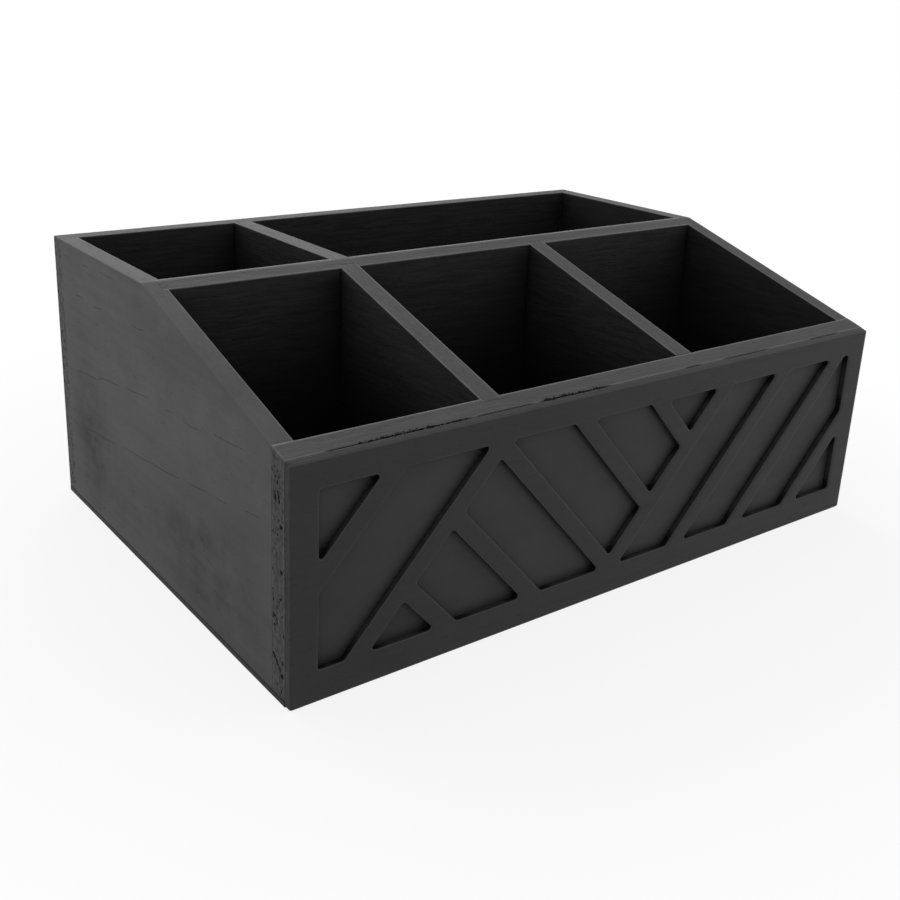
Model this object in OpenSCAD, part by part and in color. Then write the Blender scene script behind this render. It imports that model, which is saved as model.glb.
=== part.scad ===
/* [Box] */
// Overall width, left to right
width = 300; // [270:1:360]
// Overall depth, front to back
depth = 205; // [190:1:260]
// Height of the back and of the level part of the sides
height = 120.5; // [105:0.5:160]
// Height of the front, where the sloping edge ends
front_height = 87.5; // [75:0.5:100]

/* [Boards] */
// Thickness of the sides, the back and the front board
wall_t = 8; // [6:0.5:10]
// Thickness of the dividers
divider_t = 8.7; // [7:0.1:10]
// Thickness of the fretwork panel glued on the front
fret_t = 3; // [2:0.5:5]
// Thickness of the bottom panel under the walls
bottom_t = 2.5; // [2:0.5:5]

/* [Compartments] */
// Clear width of the two compartments on the left
left_pocket_w = 75; // [65:1:85]
// Clear width of the middle front compartment
middle_pocket_w = 93; // [80:1:100]
// Clear depth of the three front compartments
front_pocket_d = 92; // [80:1:100]
// Level strip at the back of the long divider's top, behind the start of the slope
level_strip = 2.5; // [1:0.5:5]

/* [Grooves] */
// Depth of the grooves that the dividers' ends sit in
groove_d = 2; // [1:0.5:2.5]
// Play of a divider in its groove, both sides together
groove_play = 0.1; // [0.05:0.05:0.3]

/* [Fretwork] */
// Width of the frame at the left and right ends
fret_end_w = 11; // [8:0.5:14]
// Width of the frame along the bottom
fret_bottom_w = 12; // [9:0.5:15]
// Width of the frame along the top
fret_top_w = 10; // [8:0.5:14]
// Width of each slanting bar
bar_w = 7.3; // [5:0.1:9]
// Slant of the bars from the level
bar_angle = 47.6; // [44:0.2:52]
// Radius of the rounded corners of the openings
opening_r = 1.2; // [0.5:0.1:2.5]
// Foot of the main rising bar's centre line on the bottom edge, from the left end
main_bar_x = 15.3; // [10:0.1:25]
// Distance along the bottom edge from the corner bar to the main rising bar
corner_bar_pitch = 45.7; // [40:0.1:50]
// Foot of the first of the parallel rising bars, from the left end
rising_bar_x = 134.5; // [125:0.1:145]
// Distance along the bottom edge from one parallel rising bar to the next
rising_pitch = 37.7; // [34:0.1:42]
// Foot of the first falling bar, from the left end
falling_bar_x = 75; // [65:0.1:85]
// Distance along the bottom edge from one falling bar to the next
falling_pitch = 40.4; // [37:0.1:44]

/* [Brads] */
// Shank diameter of a brad
brad_d = 1.2; // [1:0.1:1.6]
// Length of a brad in the walls
wall_brad_l = 20; // [16:1:24]
// Length of a brad through the bottom panel
bottom_brad_l = 12; // [9:1:14]
// Diameter of a brad's head
brad_head_d = 2; // [1.8:0.1:2.4]
// Thickness of a brad's head
brad_head_h = 0.7; // [0.4:0.1:1]
// Length of a brad's point
brad_point_l = 2; // [1:0.5:3]
// How far a head is set below the face of its board
brad_set = 0.3; // [0.2:0.1:0.5]

/* [Hidden] */
$fn = 32;

// How far a cut runs past the face that it opens
overrun = 1;
// Diameter left at the end of a brad's point
brad_point_d = 0.3;

// Places along the width, from the left end
divider1_x = wall_t + left_pocket_w;
divider2_x = divider1_x + divider_t + middle_pocket_w;
right_wall_x = width - wall_t;

// Places along the depth, from the front
front_inner_y = fret_t + wall_t;
long_front_y = front_inner_y + front_pocket_d;
long_rear_y = long_front_y + divider_t;
slope_y = long_rear_y - level_strip;
back_inner_y = depth - wall_t;

// A bar is drawn this long each way from its foot, and the frame hides the rest
bar_reach = width + height;

// Brads in each row
front_brads = 3;
back_brads = 4;
divider_brads = 2;
side_row_brads = 3;
edge_row_brads = 4;

paint = "#3a3a3b";
fret_paint = "#333334";
board_brown = "#2c2a28";
steel = "#8d8f92";

// n places spread evenly between lo and hi
function spread(n, lo, hi) = [for (i = [0 : n - 1]) lo + (i + 0.5) * (hi - lo) / n];

// Puts the box's bottom centre at the origin; inside, x and y start at the front left corner
module placed() {
    translate([-width / 2, -depth / 2, 0]) children();
}

// Block between two corners
module block(lo, hi) {
    translate(lo) cube(hi - lo);
}

// The whole box as one block with its sloping top, which trims every board
module outer_form() {
    rotate([90, 0, 90]) linear_extrude(width) polygon([
        [0, 0], [depth, 0], [depth, height], [slope_y, height], [0, front_height]
    ]);
}

// Board between two corners, trimmed to the sloping top
module board(lo, hi) {
    intersection() {
        block(lo, hi);
        outer_form();
    }
}

// Groove for a divider that runs front to back, at x, between y0 and y1
module cross_groove(x, y0, y1) {
    play = groove_play / 2;
    block([x - play, y0, -overrun], [x + divider_t + play, y1, height + overrun]);
}

// One brad, head at the origin, pointing up
module brad(l) {
    shank_l = l - brad_point_l;
    cylinder(d = brad_head_d, h = brad_head_h);
    cylinder(d = brad_d, h = shank_l);
    translate([0, 0, shank_l]) cylinder(d1 = brad_d, d2 = brad_point_d, h = brad_point_l);
}

// Hole that a brad fills, with the dimple over its set head
module brad_hole(l) {
    brad(l);
    translate([0, 0, -brad_set - overrun])
        cylinder(d = brad_head_d, h = brad_set + overrun + brad_head_h);
}

// One child at each place, turned the way the brad points
module driven(places, turn) {
    for (p = places) translate(p) rotate(turn) children();
}

// Turns that aim a brad back, forward or up
aim_back_angles = [-90, 0, 0];
aim_front_angles = [90, 0, 0];
aim_up_angles = [0, 0, 0];

// Rows of places, each at the head of its brad
left_row_x = wall_t / 2;
right_row_x = width - wall_t / 2;
front_head_y = fret_t + brad_set;
back_head_y = depth - brad_set;

front_left_row = [for (z = spread(front_brads, bottom_t, front_height)) [left_row_x, front_head_y, z]];
front_right_row = [for (z = spread(front_brads, bottom_t, front_height)) [right_row_x, front_head_y, z]];
front_divider_row = [
    for (z = spread(divider_brads, bottom_t, front_height)) [divider2_x + divider_t / 2, front_head_y, z]
];
back_left_row = [for (z = spread(back_brads, bottom_t, height)) [left_row_x, back_head_y, z]];
back_right_row = [for (z = spread(back_brads, bottom_t, height)) [right_row_x, back_head_y, z]];
back_divider_row = [
    for (z = spread(divider_brads, bottom_t, height)) [divider1_x + divider_t / 2, back_head_y, z]
];
bottom_left_row = [
    for (y = spread(side_row_brads, front_inner_y, back_inner_y)) [left_row_x, y, brad_set]
];
bottom_right_row = [
    for (y = spread(side_row_brads, front_inner_y, back_inner_y)) [right_row_x, y, brad_set]
];
bottom_front_row = [
    for (x = spread(edge_row_brads, 0, width)) [x, fret_t + wall_t / 2, brad_set]
];
bottom_back_row = [
    for (x = spread(edge_row_brads, 0, width)) [x, depth - wall_t / 2, brad_set]
];
bottom_divider_row = [
    for (x = spread(side_row_brads, wall_t, right_wall_x)) [x, long_front_y + divider_t / 2, brad_set]
];

// Window of the fretwork, inside its frame
module window_2d() {
    translate([fret_end_w, fret_bottom_w])
        square([width - 2 * fret_end_w, front_height - fret_top_w - fret_bottom_w]);
}

// Bar whose centre line meets the bottom edge at foot_x, turned by an angle
module bar_2d(foot_x, angle) {
    translate([foot_x, 0]) rotate(angle) translate([-bar_reach, -bar_w / 2])
        square([2 * bar_reach, bar_w]);
}

// Everything to the right of a rising bar's centre line
module right_of_2d(foot_x) {
    translate([foot_x, 0]) rotate(bar_angle) translate([-bar_reach, -2 * bar_reach])
        square([2 * bar_reach, 2 * bar_reach]);
}

// All the bars: the corner bar, the main bar, the parallel rising ones, and the falling ones between
module bars_2d() {
    bar_2d(main_bar_x - corner_bar_pitch, bar_angle);
    bar_2d(main_bar_x, bar_angle);
    for (x = [rising_bar_x : rising_pitch : width]) bar_2d(x, bar_angle);
    difference() {
        intersection() {
            for (x = [falling_bar_x : falling_pitch : width]) bar_2d(x, 180 - bar_angle);
            right_of_2d(main_bar_x);
        }
        right_of_2d(rising_bar_x);
    }
}

// The openings between the bars, with rounded corners
module openings_2d() {
    offset(r = opening_r) offset(delta = -opening_r) difference() {
        window_2d();
        bars_2d();
    }
}

module fretwork_panel() {
    color(fret_paint) placed() difference() {
        board([0, 0, 0], [width, fret_t, height]);
        translate([0, fret_t + overrun, 0]) rotate([90, 0, 0])
            linear_extrude(fret_t + 2 * overrun) openings_2d();
    }
}

module front_board() {
    color(paint) placed() difference() {
        board([0, fret_t, bottom_t], [width, front_inner_y, height]);
        cross_groove(divider1_x, front_inner_y - groove_d, front_inner_y + overrun);
        driven(concat(front_left_row, front_right_row, front_divider_row), aim_back_angles)
            brad_hole(wall_brad_l);
        driven(bottom_front_row, aim_up_angles) brad_hole(bottom_brad_l);
    }
}

module back_board() {
    color(paint) placed() difference() {
        board([0, back_inner_y, bottom_t], [width, depth, height]);
        cross_groove(divider1_x, back_inner_y - overrun, back_inner_y + groove_d);
        driven(concat(back_left_row, back_right_row, back_divider_row), aim_front_angles)
            brad_hole(wall_brad_l);
        driven(bottom_back_row, aim_up_angles) brad_hole(bottom_brad_l);
    }
}

// Side board between x0 and x1, with the long divider's groove between groove_x0 and groove_x1
module side(x0, x1, groove_x0, groove_x1, front_row, back_row, bottom_row) {
    play = groove_play / 2;
    color(paint) placed() difference() {
        board([x0, front_inner_y, bottom_t], [x1, back_inner_y, height]);
        block([groove_x0, long_front_y - play, -overrun],
              [groove_x1, long_rear_y + play, height + overrun]);
        driven(front_row, aim_back_angles) brad_hole(wall_brad_l);
        driven(back_row, aim_front_angles) brad_hole(wall_brad_l);
        driven(bottom_row, aim_up_angles) brad_hole(bottom_brad_l);
    }
}

module left_side() {
    side(0, wall_t, wall_t - groove_d, wall_t + overrun, front_left_row, back_left_row, bottom_left_row);
}

module right_side() {
    side(right_wall_x, width, right_wall_x - overrun, right_wall_x + groove_d,
         front_right_row, back_right_row, bottom_right_row);
}

module bottom_panel() {
    color(board_brown) placed() difference() {
        block([0, fret_t, 0], [width, depth, bottom_t]);
        driven(concat(bottom_left_row, bottom_right_row, bottom_front_row, bottom_back_row,
                      bottom_divider_row), aim_up_angles)
            brad_hole(bottom_brad_l);
    }
}

module long_divider() {
    color(paint) placed() difference() {
        board([wall_t - groove_d, long_front_y, bottom_t], [right_wall_x + groove_d, long_rear_y, height]);
        cross_groove(divider1_x, long_front_y - overrun, long_front_y + groove_d);
        cross_groove(divider2_x, long_front_y - overrun, long_front_y + groove_d);
        cross_groove(divider1_x, long_rear_y - groove_d, long_rear_y + overrun);
        driven(bottom_divider_row, aim_up_angles) brad_hole(bottom_brad_l);
    }
}

module rear_divider() {
    color(paint) placed() difference() {
        board([divider1_x, long_rear_y - groove_d, bottom_t],
              [divider1_x + divider_t, back_inner_y + groove_d, height]);
        driven(back_divider_row, aim_front_angles) brad_hole(wall_brad_l);
    }
}

module front_divider_left() {
    color(paint) placed() board([divider1_x, front_inner_y - groove_d, bottom_t],
                                [divider1_x + divider_t, long_front_y + groove_d, height]);
}

// Its front end butts against the front board and is held by brads
module front_divider_right() {
    color(paint) placed() difference() {
        board([divider2_x, front_inner_y, bottom_t],
              [divider2_x + divider_t, long_front_y + groove_d, height]);
        driven(front_divider_row, aim_back_angles) brad_hole(wall_brad_l);
    }
}

module wall_brads(row, turn) {
    color(steel) placed() driven(row, turn) brad(wall_brad_l);
}

module bottom_brads(row) {
    color(steel) placed() driven(row, aim_up_angles) brad(bottom_brad_l);
}

module front_brads_left() { wall_brads(front_left_row, aim_back_angles); }
module front_brads_right() { wall_brads(front_right_row, aim_back_angles); }
module front_divider_brads() { wall_brads(front_divider_row, aim_back_angles); }
module back_brads_left() { wall_brads(back_left_row, aim_front_angles); }
module back_brads_right() { wall_brads(back_right_row, aim_front_angles); }
module back_divider_brads() { wall_brads(back_divider_row, aim_front_angles); }
module bottom_brads_left() { bottom_brads(bottom_left_row); }
module bottom_brads_right() { bottom_brads(bottom_right_row); }
module bottom_brads_front() { bottom_brads(bottom_front_row); }
module bottom_brads_back() { bottom_brads(bottom_back_row); }
module bottom_brads_divider() { bottom_brads(bottom_divider_row); }

fretwork_panel();
front_board();
back_board();
left_side();
right_side();
bottom_panel();
long_divider();
rear_divider();
front_divider_left();
front_divider_right();
front_brads_left();
front_brads_right();
front_divider_brads();
back_brads_left();
back_brads_right();
back_divider_brads();
bottom_brads_left();
bottom_brads_right();
bottom_brads_front();
bottom_brads_back();
bottom_brads_divider();
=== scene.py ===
import math
from functools import reduce

import bmesh
import bpy
import numpy as np
from mathutils import Euler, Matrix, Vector
from mathutils.bvhtree import BVHTree


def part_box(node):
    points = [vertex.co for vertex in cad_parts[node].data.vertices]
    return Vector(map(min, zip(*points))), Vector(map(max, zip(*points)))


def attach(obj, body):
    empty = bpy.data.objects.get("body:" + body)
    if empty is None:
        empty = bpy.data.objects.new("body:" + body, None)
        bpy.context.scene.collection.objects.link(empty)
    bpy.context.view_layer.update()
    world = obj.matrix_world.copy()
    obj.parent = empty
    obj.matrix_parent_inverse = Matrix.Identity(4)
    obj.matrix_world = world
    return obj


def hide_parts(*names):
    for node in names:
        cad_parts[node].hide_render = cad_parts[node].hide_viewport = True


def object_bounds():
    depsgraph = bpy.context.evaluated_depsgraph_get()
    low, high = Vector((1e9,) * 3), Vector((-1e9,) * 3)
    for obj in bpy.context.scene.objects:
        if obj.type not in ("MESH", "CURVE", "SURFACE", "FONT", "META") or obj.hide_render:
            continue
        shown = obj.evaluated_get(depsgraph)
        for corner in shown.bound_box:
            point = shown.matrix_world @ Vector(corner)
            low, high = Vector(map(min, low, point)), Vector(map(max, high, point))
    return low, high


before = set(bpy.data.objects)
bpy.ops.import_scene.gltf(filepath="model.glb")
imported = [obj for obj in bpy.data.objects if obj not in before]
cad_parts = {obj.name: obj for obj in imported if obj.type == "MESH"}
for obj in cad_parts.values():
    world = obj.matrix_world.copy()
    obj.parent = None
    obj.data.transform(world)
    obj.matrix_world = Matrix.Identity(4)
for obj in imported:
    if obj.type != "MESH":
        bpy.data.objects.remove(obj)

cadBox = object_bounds()
mm = 0.001
scene = bpy.context.scene
scene.view_settings.view_transform = "Standard"
print("Frame loaded:", len(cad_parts), "pieces")


# Short ways to build node trees

def feed(tree, value, slot):
    if isinstance(value, bpy.types.NodeSocket):
        tree.links.new(value, slot)
    else:
        slot.default_value = value


def mathsIn(tree):
    # gives a short way to place Math nodes: step("ADD", a, b)
    def step(operation, *values, clamp=False):
        node = tree.nodes.new("ShaderNodeMath")
        node.operation = operation
        node.use_clamp = clamp
        for value, slot in zip(values, node.inputs):
            feed(tree, value, slot)
        return node.outputs[0]
    return step


def noiseIn(tree, vector, scale, seed, detail=3.0, roughness=0.55):
    node = tree.nodes.new("ShaderNodeTexNoise")
    node.noise_dimensions = "4D"
    feed(tree, vector, node.inputs["Vector"])
    feed(tree, scale, node.inputs["Scale"])
    feed(tree, seed, node.inputs["W"])
    node.inputs["Detail"].default_value = detail
    node.inputs["Roughness"].default_value = roughness
    return node.outputs[0]


def rampIn(tree, value, low, high):
    # 0 below low, 1 above high, smooth between
    node = tree.nodes.new("ShaderNodeMapRange")
    node.interpolation_type = "SMOOTHSTEP"
    feed(tree, value, node.inputs["Value"])
    feed(tree, low, node.inputs["From Min"])
    feed(tree, high, node.inputs["From Max"])
    return node.outputs[0]


def combineIn(tree, *parts):
    node = tree.nodes.new("ShaderNodeCombineXYZ")
    for value, slot in zip(parts, node.inputs):
        feed(tree, value, slot)
    return node.outputs[0]


def separateIn(tree, vector):
    node = tree.nodes.new("ShaderNodeSeparateXYZ")
    feed(tree, vector, node.inputs[0])
    return node.outputs


def vectorIn(tree, operation, first, *parts):
    # one Vector Math step, whose second value is given as three parts
    node = tree.nodes.new("ShaderNodeVectorMath")
    node.operation = operation
    tree.links.new(first, node.inputs[0])
    if parts:
        tree.links.new(combineIn(tree, *parts), node.inputs[1])
    return node.outputs["Value"] if operation == "LENGTH" else node.outputs[0]


def newGroup(name, kind, inputs, *outputs, gives="Float"):
    # an input is given by its type, or by the value of a number
    tree = bpy.data.node_groups.new(name, kind)
    for label, given in inputs.items():
        sort = given if isinstance(given, str) else "Float"
        socket = tree.interface.new_socket(name=label, in_out="INPUT", socket_type="NodeSocket" + sort)
        if sort == "Float":
            socket.default_value = given
    for label in outputs:
        tree.interface.new_socket(name=label, in_out="OUTPUT", socket_type="NodeSocket" + gives)
    return tree, tree.nodes.new("NodeGroupInput").outputs, tree.nodes.new("NodeGroupOutput").inputs


def useGroup(tree, group, **values):
    node = tree.nodes.new(tree.bl_idname.replace("Tree", "Group"))
    node.node_tree = group
    for label, value in values.items():
        feed(tree, value, node.inputs[label])
    return node.outputs


def attributeIn(tree, name):
    node = tree.nodes.new("ShaderNodeAttribute")
    node.attribute_name = name
    return node.outputs["Fac"]


def finishTree(tree, geometry, given, out):
    # the last nodes of a Geometry Nodes tree
    realize = tree.nodes.new("GeometryNodeRealizeInstances")
    feed(tree, geometry, realize.inputs[0])
    setMaterial = tree.nodes.new("GeometryNodeSetMaterial")
    feed(tree, realize.outputs[0], setMaterial.inputs["Geometry"])
    feed(tree, given["Material"], setMaterial.inputs["Material"])
    feed(tree, setMaterial.outputs[0], out["Geometry"])


def newMaterial(name):
    material = bpy.data.materials.new(name)
    material.use_nodes = True
    return material, material.node_tree, material.node_tree.nodes["Principled BSDF"]


def greyIn(tree, level, tint, shader):
    # gives the shader one grey, slightly tinted
    step = mathsIn(tree)
    colour = tree.nodes.new("ShaderNodeCombineColor")
    for share, slot in zip(tint, colour.inputs):
        feed(tree, step("MULTIPLY", level, share), slot)
    tree.links.new(colour.outputs[0], shader.inputs["Base Color"])


# Camera, floor and lamps

cameraView = {
    "lens": 44.8375,
    "sensor": 36.0,
    "shift": (0.040414, -0.088735),
    "place": (-0.30568, -0.37610, 0.22376),
    "turn": (71.602, -1.972, -35.685),  # degrees
}

studio = {
    "floorSize": 16.0,
    "floorDrop": 0.1 * mm,  # just under the box, so that the two faces never share a plane
    "floorColour": 0.82,
    "floorGlow": 0.84,  # share of plain white in what the camera sees of the floor beside the box
    "whiteFrom": (0.17, 0.38),  # metres from the middle over which the floor turns plain white
    "ambient": 0.7,
    "aim": (0.0, 0.0, 0.06),
}

# where each lamp stands, its width and height in metres, and its share of full light on the box
lamps = {
    "backLeftSoftbox": {"place": (-1.2, 1.7, 1.4), "size": (1.6, 1.2), "level": 0.11},
    "backSoftbox": {"place": (0.3, 2.1, 1.5), "size": (2.4, 1.0), "level": 0.36},
    "frontFill": {"place": (-0.6, -2.2, 1.3), "size": (1.8, 1.2), "level": 0.04},
    "rightSoftbox": {"place": (2.0, -0.6, 1.2), "size": (1.4, 1.2), "level": 0.07},
}


def whiteForCamera(tree):
    # 1 for the rays that should meet the plain white background, 0 for the rest
    step = mathsIn(tree)
    path = tree.nodes.new("ShaderNodeLightPath").outputs
    seen = step("MAXIMUM", path["Is Camera Ray"], path["Is Glossy Ray"])
    return step("MAXIMUM", seen, path["Is Transmission Ray"])


def makeCamera(view):
    lens = bpy.data.cameras.new("camera")
    lens.lens, lens.sensor_width = view["lens"], view["sensor"]
    lens.shift_x, lens.shift_y = view["shift"]
    lens.clip_start, lens.clip_end = 0.01, 100
    camera = bpy.data.objects.new("camera", lens)
    camera.location = view["place"]
    camera.rotation_euler = Euler([math.radians(a) for a in view["turn"]])
    scene.collection.objects.link(camera)
    scene.camera = camera


def makeFloor(settings):
    bpy.ops.mesh.primitive_plane_add(size=settings["floorSize"], location=(0, 0, -settings["floorDrop"]))
    floor = bpy.context.object
    floor.name = "studioFloor"
    material, tree, shader = newMaterial("paleFloor")
    shader.inputs["Base Color"].default_value = [settings["floorColour"]] * 3 + [1]
    shader.inputs["Roughness"].default_value = 0.9
    shader.inputs["Specular IOR Level"].default_value = 0
    glow = tree.nodes.new("ShaderNodeEmission")
    blend = tree.nodes.new("ShaderNodeMixShader")
    step = mathsIn(tree)
    fromMiddle = vectorIn(tree, "LENGTH", tree.nodes.new("ShaderNodeTexCoord").outputs["Object"])
    far = rampIn(tree, fromMiddle, *settings["whiteFrom"])
    share = step("MULTIPLY_ADD", far, 1 - settings["floorGlow"], settings["floorGlow"])
    tree.links.new(step("MULTIPLY", whiteForCamera(tree), share), blend.inputs[0])
    tree.links.new(shader.outputs[0], blend.inputs[1])
    tree.links.new(glow.outputs[0], blend.inputs[2])
    tree.links.new(blend.outputs[0], tree.nodes["Material Output"].inputs["Surface"])
    floor.data.materials.append(material)


def makeWorld(settings):
    world = bpy.data.worlds.new("studioWorld")
    scene.world = world
    world.use_nodes = True
    tree = world.node_tree
    step = mathsIn(tree)
    strength = step("MULTIPLY_ADD", whiteForCamera(tree), 1 - settings["ambient"], settings["ambient"])
    tree.nodes["Background"].inputs["Color"].default_value = (1, 1, 1, 1)
    tree.links.new(strength, tree.nodes["Background"].inputs["Strength"])


def makeLamps(rows, aim):
    for name, row in rows.items():
        lamp = bpy.data.lights.new(name, "AREA")
        lamp.shape = "RECTANGLE"
        lamp.size, lamp.size_y = row["size"]
        place = Vector(row["place"])
        lamp.energy = row["level"] * math.pi ** 2 * place.length_squared
        holder = bpy.data.objects.new(name, lamp)
        holder.location = place
        holder.rotation_euler = (Vector(aim) - place).to_track_quat("-Z", "Y").to_euler()
        scene.collection.objects.link(holder)


makeCamera(cameraView)
makeFloor(studio)
makeWorld(studio)
makeLamps(lamps, studio["aim"])
print("Camera, floor and", len(lamps), "lamps made")


# Shared shader groups

grainLook = {
    "along": 30.0,  # noise scale along the grain
    "across": 600.0,
    "wave": (55.0, 3.0 * mm),  # noise scale of the fibres' waves, and how far they swing
    # of each layer: shares of the scales along and across, seed shift, detail, and roughness if it
    # isn't the usual one
    "streaks": (1.0, 1.0, 0.0, 4.0, 0.62),
    "pores": (4.0, 2.0, 7.0, 2.0),
    "figure": (0.2, 0.12, 3.0, 2.0),
    "poreFrom": (0.60, 0.72),  # where in its noise a pore starts and is full
}
mottleLook = {
    "size": 26.0,  # noise scale of the clouds
    # of each layer: share of that scale, seed shift, detail, and roughness if it isn't the usual one
    "clouds": (1.0, 0.0, 6.0, 0.62),
    "speckle": (22.0, 9.0, 3.0, 0.7),
    "specks": (26.0, 5.0, 1.0),
    "cloudFrom": (0.3, 0.7),  # where in its noise a cloud starts and is full
    "speckFrom": (0.68, 0.76),
}
wearLook = {
    "reach": 0.2,  # of the arris attribute, if a material names none
    "patches": 160.0,  # noise scale
    "detail": (5.0, 0.7),  # detail and roughness
}
brushLook = {"along": 9.0, "across": 280.0, "detail": 2.0}
plyLook = {
    # mm behind the face, where each band starts, is full, fades and ends
    "pale": (0.7, 1.1, 1.9, 2.4),
    "frontGlue": (0.2, 0.5, 0.7, 1.0),
    "backGlue": (1.9, 2.4),  # this one only starts and is full
    # noise scale, and where in that noise each band starts and is full
    "patches": 60.0,
    "breaks": 90.0,
    "paleFrom": (0.56, 0.66),
    "frontFrom": (0.46, 0.56),
    "backFrom": (0.24, 0.40),
    "roughness": 0.6,
}


def makeGrainGroup(look):
    # wavy fibres along X, short dark pores between them, and a wider figure
    inputs = {"Vector": "Vector", "Along": look["along"], "Across": look["across"], "Seed": 0.0}
    tree, given, out = newGroup("woodGrain", "ShaderNodeTree", inputs, "Streaks", "Pores", "Figure")
    step = mathsIn(tree)
    waveScale, swing = look["wave"]
    wave = noiseIn(tree, given["Vector"], waveScale, step("ADD", given["Seed"], 1.0), 1.0)
    shift = step("MULTIPLY", step("SUBTRACT", wave, 0.5), swing)
    place = vectorIn(tree, "ADD", given["Vector"], 0.0, shift, shift)

    def layer(shorter, finer, seedShift, *settings):
        # noise drawn out along the grain
        along = step("MULTIPLY", given["Along"], shorter)
        across = step("MULTIPLY", given["Across"], finer)
        drawn = vectorIn(tree, "MULTIPLY", place, along, across, across)
        return noiseIn(tree, drawn, 1.0, step("ADD", given["Seed"], seedShift), *settings)

    feed(tree, layer(*look["streaks"]), out["Streaks"])
    feed(tree, rampIn(tree, layer(*look["pores"]), *look["poreFrom"]), out["Pores"])
    feed(tree, layer(*look["figure"]), out["Figure"])
    return tree


def makeMottleGroup(look):
    # uneven paint: soft clouds, a fine speckle, and small dark specks
    inputs = {"Vector": "Vector", "Size": look["size"], "Seed": 0.0}
    tree, given, out = newGroup("paintMottle", "ShaderNodeTree", inputs, "Clouds", "Speckle", "Specks")
    step = mathsIn(tree)

    def layer(finer, seedShift, *settings):
        size = step("MULTIPLY", given["Size"], finer)
        return noiseIn(tree, given["Vector"], size, step("ADD", given["Seed"], seedShift), *settings)

    feed(tree, rampIn(tree, layer(*look["clouds"]), *look["cloudFrom"]), out["Clouds"])
    feed(tree, layer(*look["speckle"]), out["Speckle"])
    feed(tree, rampIn(tree, layer(*look["specks"]), *look["speckFrom"]), out["Specks"])
    return tree


def makeWearGroup(look):
    # paint rubbed thin along the arrises, broken up by noise
    inputs = {"Vector": "Vector", "Arris": 0.0, "Reach": look["reach"], "Seed": 0.0}
    tree, given, out = newGroup("arrisWear", "ShaderNodeTree", inputs, "Wear")
    step = mathsIn(tree)
    patches = noiseIn(tree, given["Vector"], look["patches"], given["Seed"], *look["detail"])
    edge = step("SUBTRACT", 1.0, step("MULTIPLY", given["Reach"], step("ADD", 0.5, patches)))
    feed(tree, rampIn(tree, given["Arris"], edge, 1.0), out["Wear"])
    return tree


def makeBrushGroup(look):
    # faint brush marks along X, which change the sheen and the height
    tree, given, out = newGroup("brushMarks", "ShaderNodeTree", {"Vector": "Vector", "Seed": 0.0}, "Marks")
    drawn = vectorIn(tree, "MULTIPLY", given["Vector"], look["along"], look["across"], look["across"])
    feed(tree, noiseIn(tree, drawn, 1.0, given["Seed"], look["detail"]), out["Marks"])
    return tree


def makePlyGroup(look):
    # the cut edge of a thin panel: a pale ply, broken along its length, between dark glue lines
    inputs = {"Vector": "Vector", "Depth": 0.0, "Seed": 0.0}
    tree, given, out = newGroup("plyEdge", "ShaderNodeTree", inputs, "Pale", "Dark")
    step = mathsIn(tree)

    def deepening(low, high):
        return rampIn(tree, given["Depth"], low * mm, high * mm)

    def band(start, full, fading, end):
        return step("MULTIPLY", deepening(start, full), deepening(end, fading))

    patches = noiseIn(tree, given["Vector"], look["patches"], given["Seed"], 4.0, look["roughness"])
    pale = step("MULTIPLY", band(*look["pale"]), rampIn(tree, patches, *look["paleFrom"]))
    feed(tree, pale, out["Pale"])
    glue = noiseIn(tree, given["Vector"], look["breaks"], step("ADD", given["Seed"], 4.0), 3.0,
                   look["roughness"])
    front = step("MULTIPLY", band(*look["frontGlue"]), rampIn(tree, glue, *look["frontFrom"]))
    back = step("MULTIPLY", deepening(*look["backGlue"]), rampIn(tree, glue, *look["backFrom"]))
    feed(tree, step("MAXIMUM", front, back), out["Dark"])
    return tree


woodGrain = makeGrainGroup(grainLook)
paintMottle = makeMottleGroup(mottleLook)
arrisWear = makeWearGroup(wearLook)
brushMarks = makeBrushGroup(brushLook)
plyEdge = makePlyGroup(plyLook)


# Materials

paint = {
    "outside": 0.055,  # linear grey of the outer faces and top edges
    "inside": 0.0125,  # compartment walls near the rim, darker than the outside as painted shade
    "deep": 0.0003,  # painted shade down in the compartments and in their corners
    "worn": 0.125,  # where an arris is rubbed
    "crispHighlight": 0.24,  # painted highlight: the thin bright line along an inner arris
    "pit": 0.006,  # in pits, cracks and open seams
    "clouds": 0.10,
    "speckle": 0.16,
    "specks": 0.14,
    "streaks": 0.06,
    "insideStreaks": 0.30,
    "pores": 0.08,
    "figure": 0.03,
    "streakFrom": (0.28, 0.72),  # where in the grain's noise a streak starts and is full
    "along": 48.0,
    "across": 480.0,
    "mottleSize": 26.0,
    "reach": 0.27,
    "endSpecks": 0.45,  # how dark the specks of the end grain are
    "endFrom": (0.56, 0.40),  # where in the speckle they start and are full
    "grimeAndShadeClouds": 2.2,  # how far the clouds break up the darker paint patches and the painted shade
    "pitBreak": 3.4,  # how far the speckle breaks shallow pits and seams into specks
    "pitFrom": (0.42, 0.62),  # where in a pit's value it starts and is full
    "roughness": 0.55,
    "brushRoughness": 0.16,  # how far brush marks change it
    "deepRoughness": 0.30,  # added where the compartments are deep
    "poreRoughness": 0.12,
    "pitRoughness": 0.5,
    "sheen": 0.14,  # specular level
    "bump": 0.10 * mm,
    "grainBump": 1.0,
    # heights, as shares of the bump
    "relief": {"pores": -0.7, "pits": -7.0, "marks": 0.5, "speckle": 0.6, "ends": -1.5},
    "tint": (1.0, 1.0, 1.0),
}


def alongGrain(tree, axis):
    # object coordinates turned so that the grain runs along X
    place = tree.nodes.new("ShaderNodeTexCoord").outputs["Object"]
    if axis == "X":
        return place
    apart = separateIn(tree, place)
    return combineIn(tree, apart["Y"], apart["X"], apart["Z"])


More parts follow.
